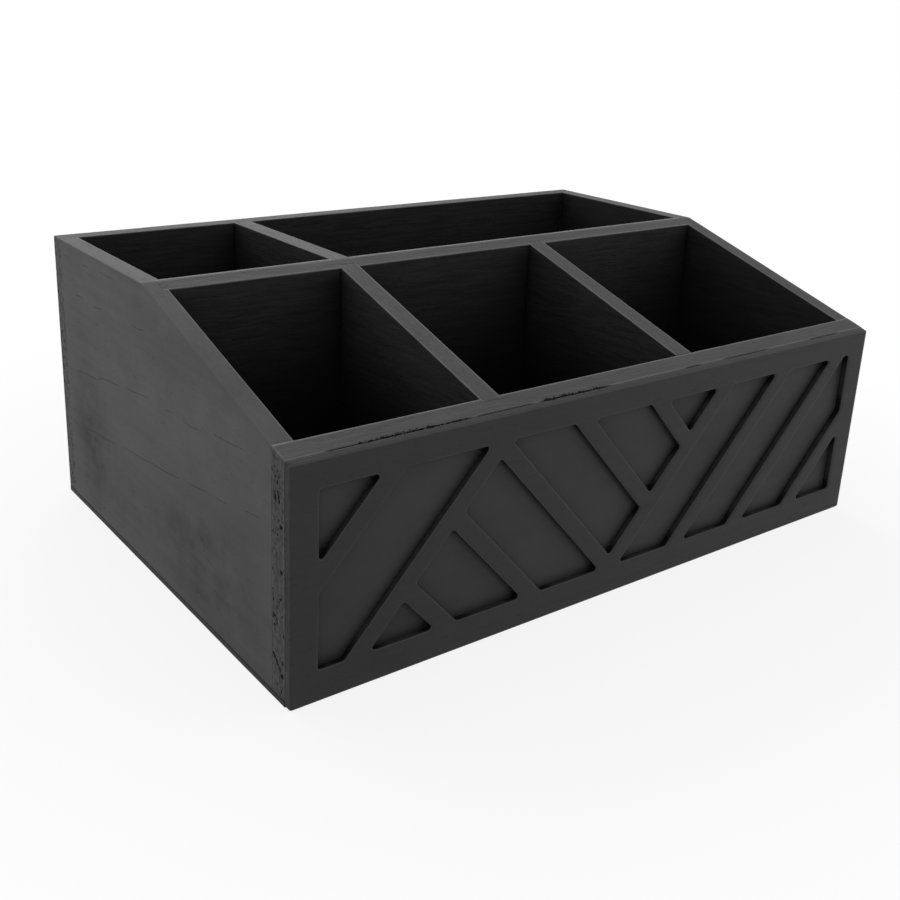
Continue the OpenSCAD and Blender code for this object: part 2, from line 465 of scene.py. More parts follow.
def paintedWood(name, axis, seed, ply=False, **changes):
    s = {**paint, **changes}
    material, tree, shader = newMaterial(name)
    step = mathsIn(tree)

    def mix(share, a, b):
        return step("MULTIPLY_ADD", share, step("SUBTRACT", b, a), a)

    def centred(value):
        return step("SUBTRACT", value, 0.5)

    place = alongGrain(tree, axis)
    grain = useGroup(tree, woodGrain, Vector=place, Along=s["along"], Across=s["across"], Seed=seed)
    mottle = useGroup(tree, paintMottle, Vector=place, Size=s["mottleSize"], Seed=seed + 11.0)
    wear = useGroup(tree, arrisWear, Vector=place, Arris=attributeIn(tree, "arris"), Reach=s["reach"],
                    Seed=seed + 23.0)["Wear"]
    marks = useGroup(tree, brushMarks, Vector=place, Seed=seed + 31.0)["Marks"]
    toneAndLight, nookShade, pit = (attributeIn(tree, label) for label in ("toneAndLight", "nookShade", "pit"))
    ends, grimeAndShade, calm = (attributeIn(tree, label) for label in ("ends", "grimeAndShade", "calm"))
    lively = step("SUBTRACT", 1.0, calm)

    # painted light and shade: the tone lightens each face by the light it gets, and the nook shade darkens
    # deep compartments and corners
    level = mix(toneAndLight, mix(nookShade, s["inside"], s["deep"]), s["outside"])
    level = mix(step("MULTIPLY", wear, toneAndLight), level, s["worn"])
    # a painted highlight: the thin bright line along an inner arris
    level = mix(attributeIn(tree, "crispHighlight"), level, s["crispHighlight"])
    if ply:
        edge = useGroup(tree, plyEdge, Vector=place, Depth=attributeIn(tree, "depth"), Seed=seed + 41.0)
        outer = attributeIn(tree, "outer")
        level = mix(step("MULTIPLY", edge["Pale"], outer), level, s["worn"])
        level = mix(step("MULTIPLY", edge["Dark"], outer), level, s["pit"])
    change = mix(centred(mottle["Clouds"]), 1.0, 1.0 + 2 * s["clouds"])
    streaks = rampIn(tree, grain["Streaks"], *s["streakFrom"])
    streakShare = mix(toneAndLight, 2 * s["insideStreaks"], 2 * s["streaks"])
    for value, share in ((streaks, step("MULTIPLY", streakShare, lively)),
                         (grain["Figure"], 2 * s["figure"]),
                         (mottle["Speckle"], step("MULTIPLY", lively, 2 * s["speckle"]))):
        change = step("MULTIPLY_ADD", centred(value), share, change)
    pores = step("MULTIPLY", grain["Pores"], lively)
    rough = step("MULTIPLY", ends, rampIn(tree, mottle["Speckle"], *s["endFrom"]))
    dark = step("MULTIPLY", mottle["Specks"], s["specks"])
    dark = step("MULTIPLY_ADD", pores, s["pores"], dark)
    dark = step("MULTIPLY_ADD", rough, s["endSpecks"], dark)
    # the grime attribute holds darker paint patches, and painted shade beside the fretwork's walls and
    # below the sides' top edges
    patchy = step("MULTIPLY", lively, centred(mottle["Clouds"]))
    grimeAndShade = step("MULTIPLY", grimeAndShade, step("MULTIPLY_ADD", patchy, s["grimeAndShadeClouds"], 1.0))
    dark = step("ADD", grimeAndShade, dark, clamp=True)
    level = step("MULTIPLY", level, step("MULTIPLY", change, step("SUBTRACT", 1.0, dark)))
    # shallow pits and seams are broken up into specks
    ragged = step("MULTIPLY_ADD", centred(mottle["Speckle"]), s["pitBreak"], 1.0)
    pit = rampIn(tree, step("MULTIPLY", ragged, pit), *s["pitFrom"])
    level = mix(pit, level, step("MINIMUM", level, s["pit"]))
    greyIn(tree, level, s["tint"], shader)

    roughness = step("MULTIPLY_ADD", centred(marks), s["brushRoughness"], s["roughness"])
    roughness = step("MULTIPLY_ADD", nookShade, s["deepRoughness"], roughness)
    roughness = step("MULTIPLY_ADD", pores, s["poreRoughness"], roughness)
    roughness = step("MULTIPLY_ADD", pit, s["pitRoughness"], roughness, clamp=True)
    tree.links.new(roughness, shader.inputs["Roughness"])
    shader.inputs["Specular IOR Level"].default_value = s["sheen"]

    relief = s["relief"]
    height = step("MULTIPLY", streaks, step("MULTIPLY", lively, s["grainBump"]))
    height = step("MULTIPLY_ADD", pores, relief["pores"] * s["grainBump"], height)
    for value, label in ((pit, "pits"), (marks, "marks"), (mottle["Speckle"], "speckle"), (rough, "ends")):
        height = step("MULTIPLY_ADD", value, relief[label], height)
    bump = tree.nodes.new("ShaderNodeBump")
    bump.inputs["Strength"].default_value = 1.0
    bump.inputs["Distance"].default_value = s["bump"]
    tree.links.new(height, bump.inputs["Height"])
    tree.links.new(bump.outputs[0], shader.inputs["Normal"])
    return material


sidePaint = paintedWood("sidePaint", "Y", 1.0, pores=0.03, streaks=0.015, clouds=0.17, worn=0.085,
                        grainBump=0.12, figure=0.015, mottleSize=34.0)
wallPaint = paintedWood("wallPaint", "X", 2.0)
# the fretwork's front is given a darker grey than the sides: painted shade, for the front's lesser light
fretworkPaint = paintedWood("fretworkPaint", "X", 3.0, ply=True, outside=0.030, inside=0.023, deep=0.001,
                            worn=0.062, reach=0.20, clouds=0.03, streaks=0.03, pores=0.10, specks=0.10,
                            speckle=0.10, bump=0.06 * mm)
dividerPaintX = paintedWood("dividerPaintX", "X", 4.0)
dividerPaintY = paintedWood("dividerPaintY", "Y", 5.0)
bottomStain = paintedWood("bottomStain", "X", 6.0, outside=0.030, worn=0.04, inside=0.008,
                          tint=(1.0, 0.95, 0.90))

bradFinish = {
    "grey": (0.035, 0.04),  # darkest, and how much lighter the clouds make it
    "tint": (1.0, 1.0, 1.03),
    "roughness": (0.3, 0.3),  # least, and how much the speckle adds
    "metallic": 0.6,
    "mottleSize": 90.0,
}


def makeBradSteel(s):
    material, tree, shader = newMaterial("bradSteel")
    step = mathsIn(tree)
    place = tree.nodes.new("ShaderNodeTexCoord").outputs["Object"]
    mottle = useGroup(tree, paintMottle, Vector=place, Size=s["mottleSize"], Seed=61.0)
    greyIn(tree, step("MULTIPLY_ADD", mottle["Clouds"], s["grey"][1], s["grey"][0]), s["tint"], shader)
    least, more = s["roughness"]
    tree.links.new(step("MULTIPLY_ADD", mottle["Speckle"], more, least), shader.inputs["Roughness"])
    shader.inputs["Metallic"].default_value = s["metallic"]
    return material


bradSteel = makeBradSteel(bradFinish)
print("Materials made")


# The sloping top, worked out from the pieces that lie on it

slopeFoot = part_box("fretwork_panel")[1]
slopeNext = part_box("front_board")[1]
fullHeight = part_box("back_board")[1].z
slopeTan = (slopeNext.z - slopeFoot.z) / (slopeNext.y - slopeFoot.y)
slopeCos = 1 / math.hypot(1, slopeTan)
breakY = slopeFoot.y + (fullHeight - slopeFoot.z) / slopeTan
corner = Vector(cadBox[0])  # front left foot, from which the listed marks are measured


def topAt(y, highest=fullHeight):
    return np.minimum(highest, slopeFoot.z + slopeTan * (y - slopeFoot.y))


def wobble(points, size, seed):
    # smooth waves between about -1 and 1, the same on every run
    rng = np.random.default_rng(seed)
    total = np.zeros(len(points))
    for _ in range(8):
        direction = rng.normal(size=3)
        direction /= np.linalg.norm(direction)
        pace = 2 * math.pi * rng.uniform(0.5, 1.6) / size
        total += np.sin(points @ direction * pace + rng.uniform(0, 2 * math.pi))
    return total / 4


def smooth(value, low, high):
    share = np.clip((value - low) / (high - low), 0, 1)
    return share * share * (3 - 2 * share)


# Making and finishing plain meshes

def meshFrom(name, points, faces):
    mesh = bpy.data.meshes.new(name)
    mesh.from_pydata(np.asarray(points).tolist(), [], [list(face) for face in faces])
    piece = bpy.data.objects.new(name, mesh)
    scene.collection.objects.link(piece)
    return piece


def applyModifiers(piece):
    view = bpy.context.evaluated_depsgraph_get()
    mesh = bpy.data.meshes.new_from_object(piece.evaluated_get(view))
    piece.modifiers.clear()
    piece.data = mesh


def runNodes(name, start, tree, values):
    # runs a Geometry Nodes tree on a mesh and keeps the result as a plain mesh
    piece = bpy.data.objects.new(name, start)
    scene.collection.objects.link(piece)
    modifier = piece.modifiers.new(name, "NODES")
    modifier.node_group = tree
    sockets = {s.name: s.identifier for s in tree.interface.items_tree if s.in_out == "INPUT"}
    for label, value in values.items():
        modifier[sockets[label]] = value
    applyModifiers(piece)
    return piece


def storeValues(piece, name, values):
    attribute = piece.data.attributes.new(name, "FLOAT", "POINT")
    attribute.data.foreach_set("value", np.ascontiguousarray(values, np.float32))


def pointsOf(piece):
    flat = np.empty(len(piece.data.vertices) * 3, np.float32)
    piece.data.vertices.foreach_get("co", flat)
    return flat.reshape(-1, 3).astype(float)


def finishPiece(piece, material, slot, *nodes, sharp=None):
    piece.data.materials.clear()
    piece.data.materials.append(material)
    piece.data.polygons.foreach_set("use_smooth", np.ones(len(piece.data.polygons), bool))
    if sharp:
        piece.data.set_sharp_from_angle(angle=math.radians(sharp))
    piece.data.update()
    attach(piece, "root")
    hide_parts(*nodes)
    piece.data.calc_loop_triangles()
    print("Piece made:", piece.name, len(piece.data.loop_triangles), "triangles")


# The gap between the front board and the fretwork, open in places along the top edge

frontGap = {
    # from, to (mm from the left), and how open
    "stretches": [(16, 24, 0.45), (26, 72, 0.85), (76, 100, 0.35), (106, 138, 0.95), (183, 189, 0.6),
                  (205, 232, 0.3), (262, 280, 0.35)],
    "ease": (3, 2),  # mm outside and inside a stretch's end, between which it opens
    "width": 0.46,  # mm, most that each of the two arrises is broken away
    "least": 0.02,  # mm, open all along
    "ragged": (0.6, 0.5, 1.2),  # share broken off the board's arris: middle, swing and most
    "raggedSize": 2.4,  # mm
    "beside": 3,  # mm below the top, where the board's front arris counts as beside the seam
    "arrisRadii": (0.03, 0.1),  # mm, beside it and lower down
    "filledTo": (1.5, 3.5),  # mm below the top over which the paint that fills it thins out
    "filledFrom": (0.1, 0.3),  # how open it is where that paint starts to miss and is gone
    "darkFrom": (0.15, 0.5),  # mm of width where the board's paint beside it turns dark
    "darkEdge": (0.5, 1.1),  # from it, in its own widths
    "fringeReach": 2.8,  # mm
}


def gapAt(x):
    openness = np.zeros(np.shape(x))
    outside, inside = frontGap["ease"]
    for start, end, share in frontGap["stretches"]:
        opened = smooth(x, corner.x + (start - outside) * mm, corner.x + (start + inside) * mm)
        closed = smooth(x, corner.x + (end - inside) * mm, corner.x + (end + outside) * mm)
        openness = np.maximum(openness, share * (opened * (1 - closed)))
    return openness


# Fretwork panel, made by a field of distances: slanting bars in a frame, with rounded openings

fretwork = {
    "End Width": 11.0 * mm,
    "Bottom Width": 12.0 * mm,
    "Top Width": 10.0 * mm,
    "Bar Width": 7.3 * mm,
    "Bar Angle": math.radians(47.6),
    "Corner Radius": 1.2 * mm,
    "Main Foot": 15.3 * mm,
    "Corner Pitch": 45.7 * mm,
    "Rising Foot": 134.5 * mm,
    "Rising Pitch": 37.7 * mm,
    "Falling Foot": 75.0 * mm,
    "Falling Pitch": 40.4 * mm,
    "Arris Radius": 0.28 * mm,
    "Chip Radius": 1.3 * mm,
    "Unevenness": 0.06 * mm,
    "Gap Width": frontGap["width"] * mm,
    "Seed": 5.0,
}
fretworkGrid = {"X": 0.84 * mm, "Y": 0.34 * mm, "Z": 0.54 * mm}
fretworkMarks = {
    "slow": 45.0,  # noise scale of the face's unevenness
    "ragged": (520.0, 3.0, 0.65),  # noise scale, detail and roughness of the arrises
    "arrisShares": (0.4, 2.0),  # of the arris radius: the least, and what a nick adds
    "nicks": (130.0, 0.62, 0.78),  # noise scale, and where in it a nick starts and is full
    "arrisReach": 3.0 * mm,  # over which the arris attribute fades
    "faceDepth": (0.75 * mm, 0.45 * mm),  # from the walls of the openings to the painted face
    "topDepth": (0.6 * mm, 0.2 * mm),  # the same under the top edge
    "endLitTone": 0.55,  # painted light: the ends, lit less than a top edge of 1
    "wallShadeDepth": (2.3 * mm, 3.1 * mm),  # from the face, where painted shade darkens the walls at their foot
    "tipShadeReach": (7.0 * mm, 2.2 * mm),  # from a corner of an opening, where painted shade darkens its tip
    # from the face, where a tip's painted shade starts and is full
    "tipShadeDepth": (0.0, 0.6 * mm),
    "endDarkening": (0.42, 0.2),  # how much darker the edge-on ends are: all over, and added low down
    "lowEnd": (62 * mm, 40 * mm),
    "outerFrom": (0.0, 0.5 * mm),  # nearer to the outline than to an opening: outer edge
    "gapRagged": (0.15, 1.1),  # of the gap's width: the least, and what the ragged noise adds
    "gapDark": 0.74,
    "gapEdge": (1.6, 0.8),  # from the gap, in its own widths, where its dark starts and is full
    "gapFrom": (0.08 * mm, 0.4 * mm),  # how wide it is where that starts and is full
    "fringe": (0.6, 2.2 * mm),  # how dark the paint beside the gap is, and how far it reaches
}


def makeCornerGroup():
    # how far past a rounded corner between two walls of an opening, from the distance to each wall
    inputs = {"A": 0.0, "B": 0.0, "Cosine": 0.0, "Radius": 0.0}
    tree, given, out = newGroup("roundedCorner", "GeometryNodeTree", inputs, "Past")
    step = mathsIn(tree)
    a = step("SUBTRACT", given["Radius"], given["A"])
    b = step("SUBTRACT", given["Radius"], given["B"])
    cosine = given["Cosine"]
    first = step("SUBTRACT", a, step("MULTIPLY", b, cosine))
    second = step("SUBTRACT", b, step("MULTIPLY", a, cosine))
    both = step("GREATER_THAN", step("MINIMUM", first, second), 0.0)
    square = step("SUBTRACT", step("ADD", step("MULTIPLY", a, a), step("MULTIPLY", b, b)),
                  step("MULTIPLY", step("MULTIPLY", step("MULTIPLY", a, b), 2.0), cosine))
    spread = step("MAXIMUM", step("SUBTRACT", 1.0, step("MULTIPLY", cosine, cosine)), 0.01)
    rounded = step("SQRT", step("DIVIDE", step("MAXIMUM", square, 0.0), spread))
    flat = step("MAXIMUM", a, b)
    feed(tree, step("MULTIPLY_ADD", both, step("SUBTRACT", rounded, flat), flat), out["Past"])
    return tree


def makeFretworkTree(values, marks):
    inputs = {"Geometry": "Geometry", "Low Corner": "Vector", "High Corner": "Vector", "Top Slope": 0.3,
              "Material": "Material", **values}
    tree, given, out = newGroup("slantedFretwork", "GeometryNodeTree", inputs, "Geometry", gives="Geometry")
    tree.is_modifier = True
    step = mathsIn(tree)
    roundedCorner = makeCornerGroup()

    def less(a, b):
        return step("SUBTRACT", a, b)

    def times(a, b):
        return step("MULTIPLY", a, b)

    def least(*parts):
        return reduce(lambda a, b: step("MINIMUM", a, b), parts)

    def most(*parts):
        return reduce(lambda a, b: step("MAXIMUM", a, b), parts)

    def short(radius, depth):
        # how much of the rounding radius is left at this depth, squared
        left = most(less(radius, depth), 0.0)
        return times(left, left)

    def rounded(radius, *depths):
        # depth inside a shape with rounded arrises, from the depth inside each of its faces
        total = reduce(lambda a, b: step("ADD", a, b), [short(radius, depth) for depth in depths])
        beyond = most(less(least(*depths), radius), 0.0)
        return step("ADD", less(radius, step("SQRT", total)), beyond)

    def choose(condition, whenTrue, whenFalse):
        node = tree.nodes.new("GeometryNodeSwitch")
        node.input_type = "FLOAT"
        for value, label in ((condition, "Switch"), (whenFalse, "False"), (whenTrue, "True")):
            feed(tree, value, node.inputs[label])
        return node.outputs[0]

    position = tree.nodes.new("GeometryNodeInputPosition").outputs[0]
    low, high = (separateIn(tree, given[label]) for label in ("Low Corner", "High Corner"))
    here = separateIn(tree, position)
    x, y, z = (less(here[axis], low[axis]) for axis in "XYZ")
    width, thick, tall = (less(high[axis], low[axis]) for axis in "XYZ")
    toRight, toBack = less(width, x), less(thick, y)
    frontTall = less(tall, times(thick, given["Top Slope"]))
    sine = step("SINE", given["Bar Angle"])
    cosine = step("COSINE", given["Bar Angle"])
    lean = step("DIVIDE", z, step("TANGENT", given["Bar Angle"]))
    # where a rising and a falling bar through this point meet the bottom
    risingX, fallingX = less(x, lean), step("ADD", x, lean)

    def fromNearest(foot, first, pitch):
        # signed distance from the nearest bar of a row, across the bar
        number = most(step("ROUND", step("DIVIDE", less(foot, first), pitch)), 0.0)
        return times(less(less(foot, first), times(number, pitch)), sine)

    def nearer(a, b):
        return choose(step("LESS_THAN", step("ABSOLUTE", a), step("ABSOLUTE", b)), a, b)

    main = times(less(risingX, given["Main Foot"]), sine)
    cornerBar = times(less(risingX, less(given["Main Foot"], given["Corner Pitch"])), sine)
    rising = fromNearest(risingX, given["Rising Foot"], given["Rising Pitch"])
    rising = nearer(rising, nearer(main, cornerBar))
    falling = fromNearest(fallingX, given["Falling Foot"], given["Falling Pitch"])
    between = times(step("GREATER_THAN", risingX, given["Main Foot"]),
                    step("LESS_THAN", risingX, given["Rising Foot"]))
    halfBar = times(given["Bar Width"], 0.5)
    toRising = less(step("ABSOLUTE", rising), halfBar)
    toFalling = choose(between, less(step("ABSOLUTE", falling), halfBar), 1.0)
    toSide = less(least(x, toRight), given["End Width"])
    windowTop = less(frontTall, given["Top Width"])
    toLevel = least(less(z, given["Bottom Width"]), less(windowTop, z))

    # each wall's distance, and which way it faces
    sideX = step("SIGN", less(times(width, 0.5), x))
    sideZ = step("SIGN", less(times(step("ADD", windowTop, given["Bottom Width"]), 0.5), z))
    sideR, sideF = step("SIGN", rising), step("SIGN", falling)
    walls = [
        (toSide, (sideX, 0.0)),
        (toLevel, (0.0, sideZ)),
        (toRising, (times(sideR, sine), times(times(sideR, cosine), -1.0))),
        (toFalling, (times(sideF, sine), times(sideF, cosine))),
    ]
    past, corners = [], []
    for number, (first, firstFacing) in enumerate(walls):
        for second, secondFacing in walls[number + 1:]:
            corners.append(most(first, second))
            facing = step("ADD", *[times(a, b) for a, b in zip(firstFacing, secondFacing)])
            past.append(useGroup(tree, roundedCorner, A=first, B=second, Cosine=facing,
                                 Radius=given["Corner Radius"])["Past"])
    toCorner = least(*corners)
    toOpening = less(most(*past), given["Corner Radius"])  # how deep in the wood, from the openings' walls

    # the panel's own outline, with its lower left corner knocked round
    chip = given["Chip Radius"]
    toChip = less(chip, step("SQRT", step("ADD", short(chip, x), short(chip, z))))
    toTop = less(step("ADD", frontTall, times(y, given["Top Slope"])), z)
    slow = noiseIn(tree, position, marks["slow"], given["Seed"], 3.0)
    raggedScale, *raggedSettings = marks["ragged"]
    ragged = noiseIn(tree, position, raggedScale, step("ADD", given["Seed"], 2.0), *raggedSettings)
    nickScale, nickStart, nickFull = marks["nicks"]
    nicks = noiseIn(tree, position, nickScale, step("ADD", given["Seed"], 4.0), 2.0)
    nicks = rampIn(tree, nicks, nickStart, nickFull)
    leastShare, nickShare = marks["arrisShares"]
    share = step("ADD", leastShare, step("MULTIPLY_ADD", nicks, nickShare, ragged))
    radius = times(given["Arris Radius"], share)
    uneven = times(given["Unevenness"], slow)
    solid = rounded(radius, toOpening, less(y, uneven), toChip, toRight, toTop)
    solid = least(solid, toBack)

    # the arris beside the front board, broken away in stretches
    stretches = []
    outside, inside = frontGap["ease"]
    for start, end, share in frontGap["stretches"]:
        rise = rampIn(tree, x, (start - outside) * mm, (start + inside) * mm)
        fall = rampIn(tree, x, (end + outside) * mm, (end - inside) * mm)
        stretches.append(times(times(rise, fall), share))
    openness = most(*stretches)
    raggedLeast, raggedShare = marks["gapRagged"]
    broken = step("ADD", raggedLeast, times(ragged, raggedShare))
    broken = times(times(given["Gap Width"], openness), broken)
    broken = step("ADD", broken, frontGap["least"] * mm)
    solid = least(solid, rounded(broken, toBack, toTop))

    grid = tree.nodes.new("GeometryNodeVolumeCube")
    pad = Vector([2 * fretworkGrid[axis] for axis in "XYZ"])
    for operation, source, target in (("SUBTRACT", "Low Corner", "Min"), ("ADD", "High Corner", "Max")):
        feed(tree, vectorIn(tree, operation, given[source], *pad), grid.inputs[target])
    lowest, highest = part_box("fretwork_panel")
    for axis, span, gap in zip("XYZ", highest - lowest, pad):
        grid.inputs["Resolution " + axis].default_value = round((span + 2 * gap) / fretworkGrid[axis]) + 1
    density = step("MULTIPLY_ADD", solid, 0.25 / fretworkGrid["Y"], 0.5, clamp=True)
    feed(tree, density, grid.inputs["Density"])
    toMesh = tree.nodes.new("GeometryNodeVolumeToMesh")
    toMesh.inputs["Threshold"].default_value = 0.5
    feed(tree, grid.outputs[0], toMesh.inputs["Volume"])

    # what the paint reads; painted light on the ends, and painted shade at the foot of the walls and in the
    # tips
    toEnds = least(toChip, toRight, toTop)
    arris = less(1.0, step("DIVIDE", most(y, least(toOpening, toEnds)), marks["arrisReach"]))
    outer = rampIn(tree, less(toOpening, toEnds), *marks["outerFrom"])
    face = rampIn(tree, y, *marks["faceDepth"])
    upward = rampIn(tree, toTop, *marks["topDepth"])
    outerLitTone = step("MULTIPLY_ADD", upward, 1 - marks["endLitTone"], marks["endLitTone"])
    edgeOn = times(times(outer, less(1.0, upward)), less(1.0, face))
    toGap = step("ADD", toBack, toTop)
    gapEdge = [times(broken, share) for share in marks["gapEdge"]]
    gapDark = times(rampIn(tree, toGap, *gapEdge), rampIn(tree, broken, *marks["gapFrom"]))
    fringeDark, fringeReach = marks["fringe"]
    fringe = times(times(openness, fringeDark), rampIn(tree, toGap, fringeReach, 0.0))
    tipShade = times(rampIn(tree, toCorner, *marks["tipShadeReach"]), rampIn(tree, y, *marks["tipShadeDepth"]))
    nookShade = most(rampIn(tree, y, *marks["wallShadeDepth"]), tipShade)
    allOver, lowDown = marks["endDarkening"]
    grimeAndShade = step("MULTIPLY_ADD", rampIn(tree, z, *marks["lowEnd"]), lowDown, allOver)
    stored = {
        "arris": most(arris, 0.0),
        "toneAndLight": most(face, times(outer, outerLitTone)),
        "depth": y,
        "outer": edgeOn,
        "nookShade": times(nookShade, less(1.0, outer)),
        "grimeAndShade": times(edgeOn, grimeAndShade),
        "pit": most(times(gapDark, marks["gapDark"]), fringe),
    }
    geometry = toMesh.outputs[0]
    for label, value in stored.items():
        node = tree.nodes.new("GeometryNodeStoreNamedAttribute")
        node.data_type = "FLOAT"
        node.domain = "POINT"
        for part, slot in ((geometry, "Geometry"), (label, "Name"), (value, "Value")):
            feed(tree, part, node.inputs[slot])
        geometry = node.outputs[0]
    finishTree(tree, geometry, given, out)
    return tree


panelLow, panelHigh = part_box("fretwork_panel")
panel = runNodes("fretworkPanel", bpy.data.meshes.new("fretworkPanel"),
                 makeFretworkTree(fretwork, fretworkMarks),
                 {"Low Corner": list(panelLow), "High Corner": list(panelHigh), "Top Slope": slopeTan,
                  "Material": fretworkPaint, **fretwork})
finishPiece(panel, fretworkPaint, "fretwork_paint", "fretwork_panel")


# Boards: closed grids of points, with rounded arrises and marks of age

boards = {
    "rim": [0.0, 0.2, 0.42, 0.68, 1.0, 1.5, 2.2],  # mm from each arris to the rows of points beside it
    "radius": 0.35,  # mm, at an arris for which a board names none
    "tight": 0.04,  # mm, radius at a glued joint that paint has filled
    "uneven": (0.12, 11.0),  # share by which a radius varies, and over how many mm
    "nicks": (5.0, 1.05),  # mm from one to the next, and how rare they are
    "arrisReach": 3.0,  # mm over which the arris attribute fades
    "litToneReach": 0.5,  # mm over which one face's painted light blends into the next
    "waves": 0.05,  # mm, depth of the slow waves in a face
    "waveSize": 38.0,  # mm
    "sharpAngle": 38.0,  # degrees
    "cutDepth": (0.16, 0.40),  # mm inside a board over which a cut's wall turns dark
    "dentDepth": (0.03, 0.20),  # mm of a dent over which it turns dark
}
nooks = {
    "deepFrom": (3.0, 68.0),  # mm below the rim over which the painted shade in a compartment deepens
    "cornerShade": 7.0,  # mm that the dark of an inside corner reaches
    "sideShare": 0.45,  # the same on the faces that run from front to back
    "shadeFrom": (0.5, 8.0),  # mm below the rim over which it starts
    "jointReach": (0.3, 1.7),  # mm from the corner, where paint has left the joint open
    "jointFrom": (0.6, 2.5),  # mm below the rim
    "jointPit": 0.72,  # how dark an open joint is
}


def fade(value, label):
    # 0 to 1 over one of the ranges above
    return smooth(value, *[end * mm for end in nooks[label]])


compartments = []
walls = {name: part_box(name) for name in ("left_side", "right_side", "front_board", "back_board",
                                         "long_divider", "front_divider_left", "front_divider_right",
                                         "rear_divider")}
frontRow = ["left_side", "front_divider_left", "front_divider_right", "right_side"]
rearRow = ["left_side", "rear_divider", "right_side"]
for row, before, behind in ((frontRow, "front_board", "long_divider"),
                            (rearRow, "long_divider", "back_board")):
    for leftName, rightName in zip(row, row[1:]):
        compartments.append((walls[leftName][1].x, walls[rightName][0].x,
                             walls[before][1].y, walls[behind][0].y))


def nookShadeAt(points):
    # painted shade: 0 beside the rim, 1 deep in a compartment or in one of its corners; and how open the
    # joint in the corner is
    x, y, z = points.T
    below = topAt(y) - z
    depth = fade(below, "deepFrom")
    total, joint = np.zeros(len(points)), np.zeros(len(points))
    slack = 0.6 * mm
    for x0, x1, y0, y1 in compartments:
        within = (x > x0 - slack) & (x < x1 + slack) & (y > y0 - slack) & (y < y1 + slack)
        dx, dy = np.minimum(x - x0, x1 - x), np.minimum(y - y0, y1 - y)
        fromCorner = np.maximum(dx, dy)
        reach = np.where(dx < dy, nooks["sideShare"], 1.0) * nooks["cornerShade"] * mm
        toTurn = np.maximum(fromCorner, 0) / reach
        turn = np.maximum(0.8 * np.exp(-toTurn), np.exp(-6 * toTurn)) * fade(below, "shadeFrom")
        total = np.where(within, 1 - (1 - turn) * (1 - depth), total)
        opened = (1 - fade(fromCorner, "jointReach")) * fade(below, "jointFrom")
        joint = np.where(within, np.maximum(joint, opened), joint)
    return total, joint


def spaced(low, high, stepSize, *extra):
    rim = np.array([r * mm for r in boards["rim"] if r * mm < (high - low) * 0.45])
    count = max(2, round((high - low - 2 * rim[-1]) / stepSize) + 1)
    between = np.linspace(low + rim[-1], high - rim[-1], count)
    places = np.unique(np.concatenate([low + rim, between, high - rim, extra]))
    keep = np.append(np.diff(places) > 1e-7, True)
    for value in extra:  # an extra row takes the place of a row too near it
        away = np.abs(places - value)
        keep &= (away == 0) | (away > 0.3 * mm)
    return places[keep]


def gridBlock(xs, ys, zs):
    shape = (len(xs), len(ys), len(zs))
    skin = np.zeros(shape, bool)
    skin[[0, -1]] = skin[:, [0, -1]] = skin[:, :, [0, -1]] = True
    number = np.full(shape, -1)
    number[skin] = np.arange(skin.sum())
    i, j, k = np.nonzero(skin)
    quads = []
    for sheet, turned in ((number[0], True), (number[-1], False), (number[:, 0], False),
                          (number[:, -1], True), (number[:, :, 0], True), (number[:, :, -1], False)):
        four = np.stack([sheet[:-1, :-1], sheet[1:, :-1], sheet[1:, 1:], sheet[:-1, 1:]], -1).reshape(-1, 4)
        quads.append(four[:, ::-1] if turned else four)
    return np.stack([xs[i], ys[j], zs[k]], 1), np.concatenate(quads)


def faceDistances(points, low, high):
    # how far each point is inside each of the board's six faces, and the lean of its top there
    x, y, z = points.T
    top = topAt(y, high.z)
    lean = np.where(top < high.z - 1e-7, slopeCos, 1.0)
    away = {"left": x - low.x, "right": high.x - x, "front": y - low.y, "back": high.y - y,
            "under": z - low.z, "top": (top - z) * lean}
    return away, lean


def roundArrises(points, low, high, radii):
    away, lean = faceDistances(points, low, high)
    r = {side: np.broadcast_to(radii(side, points, away), len(points)) for side in away}
    q = np.empty_like(points)
    q[:, 0] = np.clip(points[:, 0], low.x + r["left"], high.x - r["right"])
    q[:, 1] = np.clip(points[:, 1], low.y + r["front"], high.y - r["back"])
    top = topAt(q[:, 1], high.z)
    q[:, 2] = np.minimum(np.maximum(points[:, 2], low.z + r["under"]), top - r["top"] / lean)
    d = points - q
    share = np.stack([
        d[:, 0] / np.where(d[:, 0] < 0, r["left"], r["right"]),
        d[:, 1] / np.where(d[:, 1] < 0, r["front"], r["back"]),
        d[:, 2] * np.where(d[:, 2] > 0, lean / r["top"], 1 / r["under"]),
    ], 1)
    length = np.maximum(np.linalg.norm(share, axis=1), 1)
    return q + d / length[:, None]


def touches(side, points, node):
    # whether a point on this side lies where a neighbour stands against the board
    low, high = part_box(node)
    slack = 0.2 * mm
    along = 1 if side in ("left", "right") else 0
    return (points[:, along] > low[along] - slack) & (points[:, along] < high[along] + slack)


def inward(side):
    # which way along the width is into the board from its left or right end
    return 1 if side == "left" else -1


endPits = {
    # mm; the pairs are the least and the most of the small random ones
    "stroke": (0.38, 0.45),  # radius and depth
    "holeDepth": 0.5,
    "margins": (0.4, 4, 3),  # at the front and back, the bottom and the top
    "lean": (-0.1, 0.1),
    "length": (0.1, 1.1),
    "radius": (0.18, 0.42),
    "depth": (0.07, 0.26),
}


